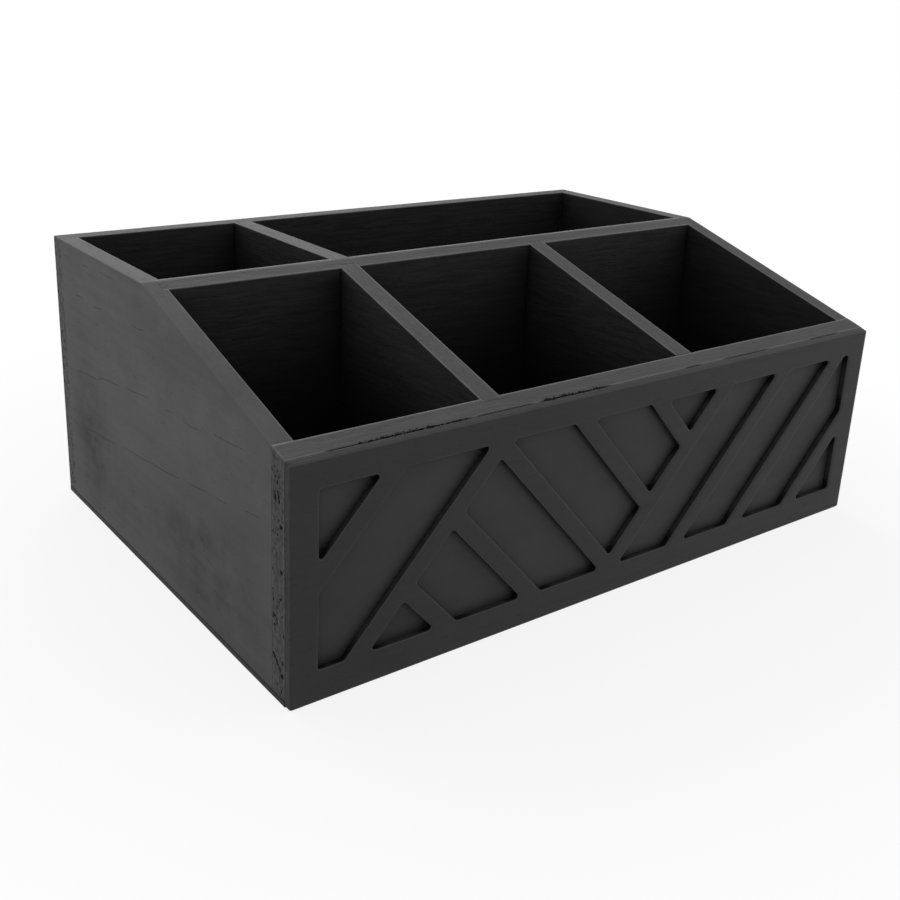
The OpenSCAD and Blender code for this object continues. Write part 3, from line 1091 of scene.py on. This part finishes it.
def dentsAt(points, side, low, high, values):
    # depth of the pits at each point of an end face: strokes, holes and small random ones
    flaws = values["flaws"][side]
    rng = np.random.default_rng(values["seed"] + inward(side))
    flat = (points[:, [1, 2]] - np.array([corner.y, corner.z])) / mm
    near = np.nonzero(np.abs(points[:, 0] - (low.x if side == "left" else high.x)) < 1.2 * mm)[0]
    marks = [(start, end, *endPits["stroke"]) for start, end in flaws.get("strokes", ())]
    marks += [((y, z), (y, z + 0.01), r, endPits["holeDepth"]) for y, z, r in flaws.get("holes", ())]
    y0, y1 = (low.y - corner.y) / mm, (high.y - corner.y) / mm
    beside, under, above = endPits["margins"]
    for _ in range(flaws["random"]):
        y = rng.uniform(y0 + beside, y1 - beside)
        z = rng.uniform(under, (high.z - corner.z) / mm - above)
        end = (y + rng.uniform(*endPits["lean"]), z + rng.uniform(*endPits["length"]))
        marks.append(((y, z), end, rng.uniform(*endPits["radius"]), rng.uniform(*endPits["depth"])))
    depth = np.zeros(len(points))
    for start, end, radius, deep in marks:
        start, line = np.array(start), np.array(end) - np.array(start)
        share = np.clip((flat[near] - start) @ line / (line @ line), 0, 1)
        away = np.linalg.norm(flat[near] - start - share[:, None] * line, axis=1) / radius
        depth[near] = np.maximum(depth[near], deep * np.clip(1 - away ** 2, 0, 1))
    return depth * mm


def blockCutter(low, high):
    return gridBlock(*[np.array([a, b]) for a, b in zip(low, high)])


def drillCutter(centre, axis, radius, depth, sides):
    # a short drill standing half out of the wood, for a brad's dimple
    turns = np.linspace(0, 2 * math.pi, sides, endpoint=False)
    ring = np.stack([np.cos(turns), np.sin(turns)], 1) * radius
    across = [a for a in range(3) if a != axis]
    points = np.empty((2 * sides, 3))
    for number, offset in enumerate((-depth, depth)):
        part = points[number * sides:(number + 1) * sides]
        part[:, across] = np.array(centre)[across] + ring
        part[:, axis] = centre[axis] + offset
    faces = [[i, (i + 1) % sides, sides + (i + 1) % sides, sides + i] for i in range(sides)]
    faces += [list(range(sides))[::-1], list(range(sides, 2 * sides))]
    return points, faces


cracks = {
    "pitch": 1.6,  # mm from one point of a line to the next
    "slowWander": (0.32, 5),  # mm, and points from one turn to the next
    "quickWander": 0.08,  # mm
    "thinnest": 0.6,  # share of the width
    "outside": 0.3,  # mm that a cutter stands out of the face
}


def crackCutters(knots, outward, width, depth, seed, broken):
    # thin V cuts along a line of points on a face, with gaps and a little wander
    rng = np.random.default_rng(seed)
    knots = np.array(knots, float) * mm + np.array(corner)
    lengths = np.append(0, np.cumsum(np.linalg.norm(np.diff(knots, axis=0), axis=1)))
    places = np.arange(0, lengths[-1], cracks["pitch"] * mm)
    path = np.stack([np.interp(places, lengths, knots[:, axis]) for axis in range(3)], 1)
    outward = np.array(outward) / np.linalg.norm(outward)
    strength = np.convolve(rng.uniform(-1, 1, len(path) + 4), np.ones(5) / 2.2, "valid")
    strength = strength + 1 - 2 * broken
    cutters, run = [], []
    for number in range(len(path)):
        if strength[number] > 0 and number < len(path) - 1:
            run.append(number)
            continue
        if len(run) > 2:
            line = path[run]
            side = np.cross(np.gradient(line, axis=0), outward)
            side /= np.linalg.norm(side, axis=1)[:, None]
            wander, apart = cracks["slowWander"]
            turns = np.arange(0, len(run) + apart, apart)
            slow = np.interp(np.arange(len(run)), turns, rng.normal(0, wander * mm, len(turns)))
            quick = rng.normal(0, cracks["quickWander"] * mm, len(run))
            line = line + side * (slow + quick)[:, None]
            fromEnd = np.minimum(np.arange(len(run)), np.arange(len(run))[::-1])
            share = np.minimum(1, fromEnd * 0.5 + 0.15)
            wide = (width * mm * share * rng.uniform(cracks["thinnest"], 1.0, len(run)))[:, None]
            rise, fall = cracks["outside"] * mm, (depth * mm * share)[:, None]
            edge = side * wide * (fall + rise) / fall / 2
            points = np.concatenate([line + edge + outward * rise, line - edge + outward * rise,
                                     line - outward * fall])
            n = len(run)
            faces = [[0, n, 2 * n], [n - 1, 3 * n - 1, 2 * n - 1]]
            for i in range(n - 1):
                faces += [[i, i + 1, n + i + 1, n + i], [n + i, n + i + 1, 2 * n + i + 1, 2 * n + i],
                          [2 * n + i, 2 * n + i + 1, i + 1, i]]
            cutters.append((points, faces))
        run = []
    return cutters


def cutAway(piece, cutters):
    points, faces = [], []
    for somePoints, someFaces in cutters:
        faces += [[len(points) + i for i in face] for face in someFaces]
        points += np.asarray(somePoints).tolist()
    cutter = meshFrom("cutter", points, faces)
    tidy = bmesh.new()
    tidy.from_mesh(cutter.data)
    bmesh.ops.recalc_face_normals(tidy, faces=tidy.faces)
    tidy.to_mesh(cutter.data)
    tidy.free()
    modifier = piece.modifiers.new("cut", "BOOLEAN")
    modifier.operation = "DIFFERENCE"
    modifier.solver = "MANIFOLD"
    modifier.object = cutter
    applyModifiers(piece)
    bpy.data.objects.remove(cutter)


def grooveFor(node, gap):
    # the space that a board's end takes in its neighbour, gap wider than the board all round
    low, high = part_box(node)
    pad = Vector((gap, gap, 2)) * mm
    return blockCutter(low - pad, high + pad)


def makeBoard(name, node, material, slot, values):
    low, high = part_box(node)
    seed = values["seed"]
    uneven, unevenSize = boards["uneven"]
    nickSize, nickFrom = boards["nicks"]

    def radii(side, points, away):
        radius = values["radii"].get(side, boards["radius"]) * mm
        radius = radius * (1 + uneven * wobble(points, unevenSize * mm, seed + len(side)))
        nicks = np.clip(wobble(points, nickSize * mm, seed + 7) - nickFrom, 0, 1)
        radius = radius * (1 + values.get("nicks", 1.5) * nicks)
        if node == "front_board" and side == "front":
            middle, swing, most = frontGap["ragged"]
            ragged = middle + swing * wobble(points, frontGap["raggedSize"] * mm, seed + 9)
            opened = gapAt(points[:, 0]) * frontGap["width"] * mm * np.clip(ragged, 0, most)
            beside, lower = frontGap["arrisRadii"]
            radius = np.where(away["top"] < frontGap["beside"] * mm, beside * mm + opened, lower * mm)
        for neighbour in values.get("meets", {}).get(side, ()):
            radius = np.where(touches(side, points, neighbour), boards["tight"] * mm, radius)
        return radius

    steps = [step * mm for step in values["steps"]]
    ys = spaced(low.y, high.y, steps[1], *([breakY] if low.y < breakY < high.y else []))
    points, faces = gridBlock(spaced(low.x, high.x, steps[0]), ys, spaced(low.z, high.z, steps[2]))
    rise = (points[:, 2] - low.z) / (high.z - low.z)
    points[:, 2] = low.z + rise * (topAt(points[:, 1], high.z) - low.z)
    points = roundArrises(points, low, high, radii)
    piece = meshFrom(name, points, faces)
    normals = np.empty(len(points) * 3, np.float32)
    piece.data.vertices.foreach_get("normal", normals)
    waves = boards["waves"] * mm * (0.5 + 0.5 * wobble(points, boards["waveSize"] * mm, seed + 50))
    points = points - normals.reshape(-1, 3) * np.clip(waves, 0, None)[:, None]
    for side in values.get("flaws", ()):
        points[:, 0] += inward(side) * dentsAt(points, side, low, high, values)
    if "filled" in values:
        # paint fills the seam above this face wherever the seam isn't broken open
        away, _ = faceDistances(points, low, high)
        near = 1 - smooth(away["top"], *[reach * mm for reach in frontGap["filledTo"]])
        near = near * (away["front"] < 0.15 * mm)
        missing = smooth(gapAt(points[:, 0]), *frontGap["filledFrom"])
        points[:, 1] -= near * values["filled"] * mm * (1 - missing)
    piece.data.vertices.foreach_set("co", points.astype(np.float32).ravel())
    cutters = [cutter for group in values.get("cuts", ()) for cutter in group]
    if cutters:
        cutAway(piece, cutters)
    dressBoard(piece, low, high, values)
    finishPiece(piece, material, slot, node, sharp=boards["sharpAngle"])


def dressBoard(piece, low, high, values):
    # stores what the paint reads: the painted light of each face, the painted shade in the corners, and
    # where the arrises, pits and end grain are
    points = pointsOf(piece)
    away, _ = faceDistances(points, low, high)
    litTones = {side: values["litTones"].get(side, 0) for side in away}
    reach = boards["litToneReach"] * mm
    nookShade, joint = nookShadeAt(points)
    weights = {side: np.clip(1 - np.abs(d) / reach, 0, 1) ** 2 * (1 + 6 * litTones[side])
               for side, d in away.items()}
    dark = np.max(np.stack([w for side, w in weights.items() if litTones[side] == 0]), axis=0)
    for side in values.get("meets", ()):  # a glued joint doesn't lighten the dark face beside it
        weights[side] = weights[side] * (1 - dark)
    safe = np.maximum(sum(weights.values()), 1e-6)
    light = dict(litTones)
    # painted light: lit lightens a face, less where the nook shade is deep
    for side, share in values.get("lit", {}).items():
        light[side] = light[side] + share * (1 - nookShade) ** 1.5
    # painted light: fade grades a face's tone along one axis, for light that falls unevenly
    for side, (axis, first, last) in values.get("fade", {}).items():
        share = (points[:, axis] - low[axis]) / (high[axis] - low[axis])
        light[side] = light[side] * (first + (last - first) * share)
    storeValues(piece, "toneAndLight", sum(w * light[side] for side, w in weights.items()) / safe)
    storeValues(piece, "nookShade", nookShade)
    # painted highlight along the inner arrises
    crispHighlight = np.zeros(len(points))
    for side, (share, width) in values.get("crispHighlight", {}).items():
        toArris = np.maximum(np.abs(away["top"]) * 2, np.abs(away[side])) / (width * mm)
        crispHighlight = np.maximum(crispHighlight, share * np.clip(1.2 - toArris, 0, 1))
    storeValues(piece, "crispHighlight", crispHighlight)
    for label in ("ends", "calm"):
        sides = values.get(label, ())
        storeValues(piece, label, sum((weights[side] for side in sides), np.zeros(len(points))) / safe)
    hidden = values.get("hidden", ("under",))
    seen = np.sort(np.stack([d for side, d in away.items() if side not in hidden]), axis=0)
    rubbed = np.clip(1 - seen[1] / (boards["arrisReach"] * mm), 0, 1) * (seen[0] < reach)
    nearest = np.min(np.stack(list(away.values())), axis=0)
    pit = smooth(nearest, *[depth * mm for depth in boards["cutDepth"]])
    pit = np.maximum(pit, nooks["jointPit"] * joint)
    for side in values.get("flaws", ()):
        dents = dentsAt(points, side, low, high, values)
        pit = np.maximum(pit, smooth(dents, *[depth * mm for depth in boards["dentDepth"]]))
    if "seam" in values:
        pit = np.maximum(pit, values["seam"](points, away))
    if "grimeAndShade" in values:
        storeValues(piece, "grimeAndShade", values["grimeAndShade"](points, away))
    storeValues(piece, "pit", pit)
    storeValues(piece, "arris", rubbed * (1 - pit))


# Sides

sideCracks = {
    # points of each line (mm back from the front, mm up)
    "lines": [[(192, 63), (146, 71), (103, 76.5), (67, 77.5), (39, 81.5), (17, 85)],
              [(200, 37), (162, 42), (124, 47.5), (80, 52.5), (46, 58), (15, 63.5)],
              [(189, 100), (157, 99), (127, 101), (97, 104)],
              [(195, 114), (162, 115), (131, 116.5)]],
    "shown": {"left": (0, 4), "right": (1, 3)},  # the first that a side has, and the first that it hasn't
    "broken": [0.14, 0.18, 0.46, 0.54],  # how much of a side's first, second and further lines is missing
    "width": 0.25,
    "depth": 0.30,
}
frontSeam = {
    # the dark line across the left side's sloping top, where the front board meets it
    "x": (0.4, 8.2),  # mm from the left
    "y": 11.1,  # mm back from the front
    "width": 0.3,
    "depth": 0.5,
}
sidePatches = {
    # darker, thicker paint: centre (mm back, mm up), spread, and how dark; the wide one centred at the foot
    # makes the side darker towards the bottom
    "left": [((174, 45), (15, 22), 0.40), ((150, 20), (22, 14), 0.15), ((95, 28), (34, 10), 0.18),
             ((35, 14), (34, 18), 0.26), ((184, 88), (12, 14), 0.12), ((100, 0), (90, 26), 0.14),
             ((62, 40), (20, 9), 0.24), ((28, 50), (9, 6), 0.16), ((120, 60), (26, 7), 0.06)],
    "right": [((60, 30), (30, 16), 0.14), ((150, 70), (24, 20), 0.08), ((30, 60), (14, 20), 0.06)],
}


def patchesOn(side):
    def grimeAndShade(points, away):
        y, z = ((points[:, axis] - corner[axis]) / mm for axis in (1, 2))
        total = np.zeros(len(points))
        for (cy, cz), (sy, sz), dark in sidePatches[side]:
            total += dark * np.exp(-(((y - cy) / sy) ** 2 + ((z - cz) / sz) ** 2) / 2)
        # painted shade: a darker band on the outer face just below the top edge
        total += 0.10 * np.exp(-np.maximum(away["top"], 0) / (2.0 * mm)) * (away[side] < 0.3 * mm)
        return total * (away[side] < 1.5 * mm)
    return grimeAndShade


def sideLines(side, seed):
    x = 0.0 if side == "left" else (cadBox[1][0] - cadBox[0][0]) / mm
    cutters = []
    for number, line in enumerate(sideCracks["lines"][slice(*sideCracks["shown"][side])]):
        cutters += crackCutters([(x, y, z) for y, z in line], (-inward(side), 0, 0), sideCracks["width"],
                                sideCracks["depth"], seed + number, sideCracks["broken"][number])
    return cutters


def seamCut(seam):
    y = seam["y"]
    z = (float(topAt(corner.y + y * mm)) - corner.z) / mm
    knots = [(x, y, z) for x in seam["x"]]
    return crackCutters(knots, (0, -slopeTan, 1), seam["width"], seam["depth"], 5, 0.0)


# tones are painted light and shade: each face's share of the outer grey for the light it gets; fade grades
# it along an axis, crisp is a painted highlight
sideShared = {"hidden": ("front", "back", "under"),
              "meets": {"front": ["front_board"], "back": ["back_board"]}}
sideBoards = {
    "left": {**sideShared, "steps": (1.6, 0.9, 0.9), "seed": 101,
             "radii": {"left": 0.6, "right": 0.3, "top": 0.4, "under": 0.3},
             "litTones": {"left": 1.0, "top": 0.78, "front": 1.0, "back": 1.0},
             "fade": {"top": (1, 1.30, 0.74), "left": (1, 1.10, 1.0)},
             "crispHighlight": {"right": (0.35, 0.6)}, "grimeAndShade": patchesOn("left"),
             "cuts": [[grooveFor("long_divider", 0.03)], sideLines("left", 11), seamCut(frontSeam)]},
    "right": {**sideShared, "steps": (1.6, 1.0, 1.0), "seed": 102,
              "radii": {"right": 0.6, "left": 0.3, "top": 0.4, "under": 0.3},
              "litTones": {"right": 1.0, "top": 0.85, "front": 1.0, "back": 1.0},
              "fade": {"top": (1, 0.98, 1.25)},
              "crispHighlight": {"left": (0.3, 0.6)}, "grimeAndShade": patchesOn("right"),
              "cuts": [[grooveFor("long_divider", 0.03)], sideLines("right", 31)]},
}
makeBoard("leftSide", "left_side", sidePaint, "side_paint", sideBoards["left"])
makeBoard("rightSide", "right_side", sidePaint, "side_paint", sideBoards["right"])


# Dividers

# tones, fade and crisp are painted light, shade and highlight, as for the sides
longDivider = {
    "steps": (1.5, 1.2, 1.5), "seed": 103, "radii": {"front": 0.3, "back": 0.35, "top": 0.3},
    "litTones": {"top": 0.86, "left": 1.0, "right": 1.0}, "hidden": ("left", "right", "under"),
    "crispHighlight": {"back": (1.0, 1.2), "front": (0.3, 0.4)}, "fade": {"top": (0, 0.86, 1.16)},
    "meets": {"left": ["left_side"], "right": ["right_side"], "back": ["rear_divider"],
              "front": ["front_divider_left", "front_divider_right"]},
    "cuts": [[grooveFor(node, 0.02) for node in ("front_divider_left", "front_divider_right",
                                                 "rear_divider")]],
}
# tones, lit and crisp are painted light, shade and highlight, as for the sides
crossShared = {"steps": (1.2, 1.2, 1.2), "radii": {"left": 0.3, "right": 0.35, "top": 0.3, "front": 0.15},
               "hidden": ("front", "back", "under")}
crossDividers = {
    "frontDividerLeft": {"node": "front_divider_left", "seed": 110, "litTones": {"top": 0.96, "back": 1.0},
                         "crispHighlight": {"left": (0.1, 0.4), "right": (0.45, 0.7)}, "lit": {"left": 0.26},
                         "meets": {"back": ["long_divider"]}},
    "frontDividerRight": {"node": "front_divider_right", "seed": 111, "litTones": {"top": 0.96, "back": 1.0},
                          "crispHighlight": {"left": (0.2, 0.4), "right": (0.45, 0.7)}, "lit": {"left": 0.12},
                          "meets": {"back": ["long_divider"]}},
    "rearDivider": {"node": "rear_divider", "seed": 112, "litTones": {"top": 0.60, "front": 1.0, "back": 1.0},
                    "crispHighlight": {"left": (0.2, 0.4), "right": (0.3, 0.6)},
                    "meets": {"front": ["long_divider"], "back": ["back_board"]}},
}
makeBoard("longDivider", "long_divider", dividerPaintX, "divider_paint", longDivider)
for name, values in crossDividers.items():
    makeBoard(name, values["node"], dividerPaintY, "divider_paint", {**crossShared, **values})


# Front and back boards, with pitted end grain

endFlaws = {
    # mm back from the front, mm up; the third number of a hole is its radius
    "strokes": [((8.9, 76.1), (8.4, 72.8)), ((7.0, 76.5), (6.2, 73.0)), ((10.6, 17.4), (5.6, 12.5))],
    "holes": [(9.0, 84.6, 0.45), (7.0, 83.4, 0.4), (8.3, 81.1, 0.4), (6.4, 81.8, 0.45), (6.5, 66.7, 0.5),
              (5.1, 64.9, 0.9), (4.9, 49.0, 0.9), (10.2, 37.3, 0.4), (5.4, 39.3, 0.5), (9.2, 31.7, 0.55),
              (4.3, 16.0, 0.6), (4.6, 11.1, 1.0)],
}


openingShade = {
    "reach": 7.2,  # mm over which a wall's shade fades
    "full": 2.7,  # what the rays' shares add up to where the shade is as dark as the next value
    "dark": 0.36,
    "most": 0.93,
}


def fieldShade(panelPiece, shade):
    # painted shade beside the walls of the fretwork's openings, darker in their tips and on the right
    tree = BVHTree.FromObject(panelPiece, bpy.context.evaluated_depsgraph_get())
    rays = []
    for number in range(8):
        turn = number * math.pi / 4
        weight = 0.5 + 0.5 * max(0, math.cos(turn + math.pi / 4))
        rays.append((Vector((math.cos(turn), 0, math.sin(turn))), weight))
    middle = (panelLow.y + panelHigh.y) / 2

    def grimeAndShade(points, away):
        dark = np.zeros(len(points))
        for index in np.nonzero(away["front"] < 0.4 * mm)[0]:
            start = Vector((points[index, 0], middle, points[index, 2]))
            total = 0.0
            for ray, weight in rays:
                distance = tree.ray_cast(start, ray)[3]
                total += 0 if distance is None else weight * math.exp(-distance / (shade["reach"] * mm))
            dark[index] = min(shade["dark"] * (total / shade["full"]) ** 3, shade["most"])
        return dark
    return grimeAndShade


def seamDark(points, away):
    # how dark the board's paint is beside the seam
    opened = gapAt(points[:, 0])
    gap = opened * frontGap["width"] * mm + frontGap["least"] * mm
    near = away["front"] + np.maximum(away["top"], 0)
    core = smooth(gap, *[width * mm for width in frontGap["darkFrom"]])
    core = core * (1 - smooth(near, *[gap * share for share in frontGap["darkEdge"]]))
    fringe = fretworkMarks["fringe"][0] * opened * (1 - smooth(near, 0, frontGap["fringeReach"] * mm))
    return np.maximum(fretworkMarks["gapDark"] * core, fringe)


brads = {
    "Head Diameter": 2.0 * mm,
    "Head Height": 0.7 * mm,
    "Shank Diameter": 1.2 * mm,
    "Point Length": 2.0 * mm,
    "Tip Radius": 0.15 * mm,
    "Sides": 16,
}
dimple = {"radius": 1.12 * mm, "depth": 0.42 * mm, "sides": 20}  # in the paint over a brad's head
# how many brads each row has along each axis
backBrads = {"back_brads_left": (1, 1, 4), "back_brads_right": (1, 1, 4), "back_divider_brads": (1, 1, 2)}
frontBrads = {"front_brads_left": (1, 1, 3), "front_brads_right": (1, 1, 3),
              "front_divider_brads": (1, 1, 2)}
bottomBrads = {"bottom_brads_left": (1, 3, 1), "bottom_brads_right": (1, 3, 1),
               "bottom_brads_front": (4, 1, 1), "bottom_brads_back": (4, 1, 1),
               "bottom_brads_divider": (3, 1, 1)}


def bradPlaces(node, counts, axis, high):
    # the middle of each brad of a row; on the axis that it is driven along, the wood's face
    low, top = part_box(node)
    headRadius = brads["Head Diameter"] / 2
    places = []
    for a, count in enumerate(counts):
        if a == axis:
            places.append([cadBox[1][a] if high else cadBox[0][a]])
        elif count > 1:
            places.append(np.linspace(low[a] + headRadius, top[a] - headRadius, count))
        else:
            places.append([(low[a] + top[a]) / 2])
    return [(x, y, z) for x in places[0] for y in places[1] for z in places[2]]


def dimples(rows, axis, high):
    return [drillCutter(centre, axis, **dimple)
            for node, counts in rows.items() for centre in bradPlaces(node, counts, axis, high)]


# the front's low tone and the top's fade are painted shade and light; crisp is a painted highlight
frontBoard = {
    "steps": (1.7, 0.42, 0.5), "seed": 120,
    "radii": {"left": 0.35, "right": 0.35, "top": 0.3, "back": 0.35},
    "litTones": {"left": 0.72, "right": 0.72, "front": 0.575, "top": 0.90}, "ends": ("left", "right"),
    "crispHighlight": {"back": (0.5, 0.9)}, "fade": {"top": (0, 1.18, 0.88)},
    "calm": ("front",), "meets": {"back": ["left_side", "right_side"]},
    "flaws": {"left": {**endFlaws, "random": 60}, "right": {"random": 70}},
    "grimeAndShade": fieldShade(panel, openingShade), "seam": seamDark, "filled": 0.25,
    "cuts": [[grooveFor("front_divider_left", 0.12)]],
}
# tones are painted light and shade, as for the sides
backBoard = {
    "steps": (1.7, 0.5, 0.8), "seed": 121, "radii": {"left": 0.4, "right": 0.4, "back": 0.6, "top": 0.4},
    "litTones": {"left": 0.85, "right": 0.8, "back": 1.0, "top": 0.62}, "ends": ("left", "right"),
    "crispHighlight": {"front": (0.3, 0.6)},
    "meets": {"front": ["left_side", "right_side", "rear_divider"]},
    "flaws": {"left": {"random": 150}, "right": {"random": 90}},
    "cuts": [[grooveFor("rear_divider", 0.02)], dimples(backBrads, 1, True)],
}
makeBoard("frontBoard", "front_board", wallPaint, "wall_paint", frontBoard)
makeBoard("backBoard", "back_board", wallPaint, "wall_paint", backBoard)


# Bottom panel

bottomPanel = {
    "steps": (2.2, 2.2, 0.8), "seed": 130, "radii": {"left": 0.3, "right": 0.3, "back": 0.3, "under": 0.3},
    "litTones": {"left": 0.12, "right": 0.12, "back": 0.15, "under": 1.0}, "hidden": ("front", "top"),
    "meets": {"front": ["front_board"]}, "nicks": 1.0,
    "cuts": [dimples(bottomBrads, 2, False)],
}
makeBoard("bottomPanel", "bottom_panel", bottomStain, "bottom_board", bottomPanel)


# Brads

bradSharpAngle = 35  # degrees
bradRuns = {
    "frontBradSet": {"rows": frontBrads, "axis": 1, "from": "low", "length": 20.0},
    "backBradSet": {"rows": backBrads, "axis": 1, "from": "high", "length": 20.0},
    "bottomBradSet": {"rows": bottomBrads, "axis": 2, "from": "low", "length": 12.0},
}


def makeBradTree(values):
    inputs = {"Geometry": "Geometry", "Length": 0.0, **values, "Sides": "Int", "Material": "Material"}
    tree, given, out = newGroup("bradRows", "GeometryNodeTree", inputs, "Geometry", gives="Geometry")
    tree.is_modifier = True
    step = mathsIn(tree)

    def placed(kind, height, **settings):
        node = tree.nodes.new("GeometryNodeMesh" + kind)
        feed(tree, given["Sides"], node.inputs["Vertices"])
        for label, value in settings.items():
            feed(tree, value, node.inputs[label.replace("_", " ")])
        move = tree.nodes.new("GeometryNodeTransform")
        feed(tree, combineIn(tree, 0.0, 0.0, height), move.inputs["Translation"])
        feed(tree, node.outputs["Mesh"], move.inputs["Geometry"])
        return move.outputs[0]

    def half(value):
        return step("MULTIPLY", value, 0.5)

    head, shankRadius = given["Head Height"], half(given["Shank Diameter"])
    toPoint = step("SUBTRACT", given["Length"], given["Point Length"])
    shank = step("SUBTRACT", toPoint, head)
    parts = [
        placed("Cylinder", half(head), Radius=half(given["Head Diameter"]), Depth=head),
        placed("Cylinder", step("MULTIPLY_ADD", shank, 0.5, head), Radius=shankRadius, Depth=shank),
        placed("Cone", toPoint, Radius_Top=given["Tip Radius"], Radius_Bottom=shankRadius,
               Depth=given["Point Length"]),
    ]
    join = tree.nodes.new("GeometryNodeJoinGeometry")
    for part in parts:
        tree.links.new(part, join.inputs[0])
    aim = tree.nodes.new("GeometryNodeInputNamedAttribute")
    aim.data_type = "FLOAT_VECTOR"
    aim.inputs["Name"].default_value = "aim"
    turn = tree.nodes.new("FunctionNodeAlignRotationToVector")
    turn.axis = "Z"
    feed(tree, aim.outputs[0], turn.inputs["Vector"])
    spread = tree.nodes.new("GeometryNodeInstanceOnPoints")
    for value, label in ((given["Geometry"], "Points"), (join.outputs[0], "Instance"),
                         (turn.outputs[0], "Rotation")):
        feed(tree, value, spread.inputs[label])
    finishTree(tree, spread.outputs[0], given, out)
    return tree


bradTree = makeBradTree(brads)
for name, run in bradRuns.items():
    axis = run["axis"]
    spots = []
    for node, counts in run["rows"].items():
        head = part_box(node)[0 if run["from"] == "low" else 1][axis]
        for place in bradPlaces(node, counts, axis, run["from"] == "high"):
            spot = [float(value) for value in place]
            spot[axis] = head
            spots.append(spot)
    start = bpy.data.meshes.new(name)
    start.from_pydata(spots, [], [])
    aim = np.zeros((len(spots), 3), np.float32)
    aim[:, axis] = 1 if run["from"] == "low" else -1
    start.attributes.new("aim", "FLOAT_VECTOR", "POINT").data.foreach_set("vector", aim.ravel())
    piece = runNodes(name, start, bradTree, {**brads, "Length": run["length"] * mm, "Material": bradSteel})
    finishPiece(piece, bradSteel, "brad_steel", *run["rows"], sharp=bradSharpAngle)
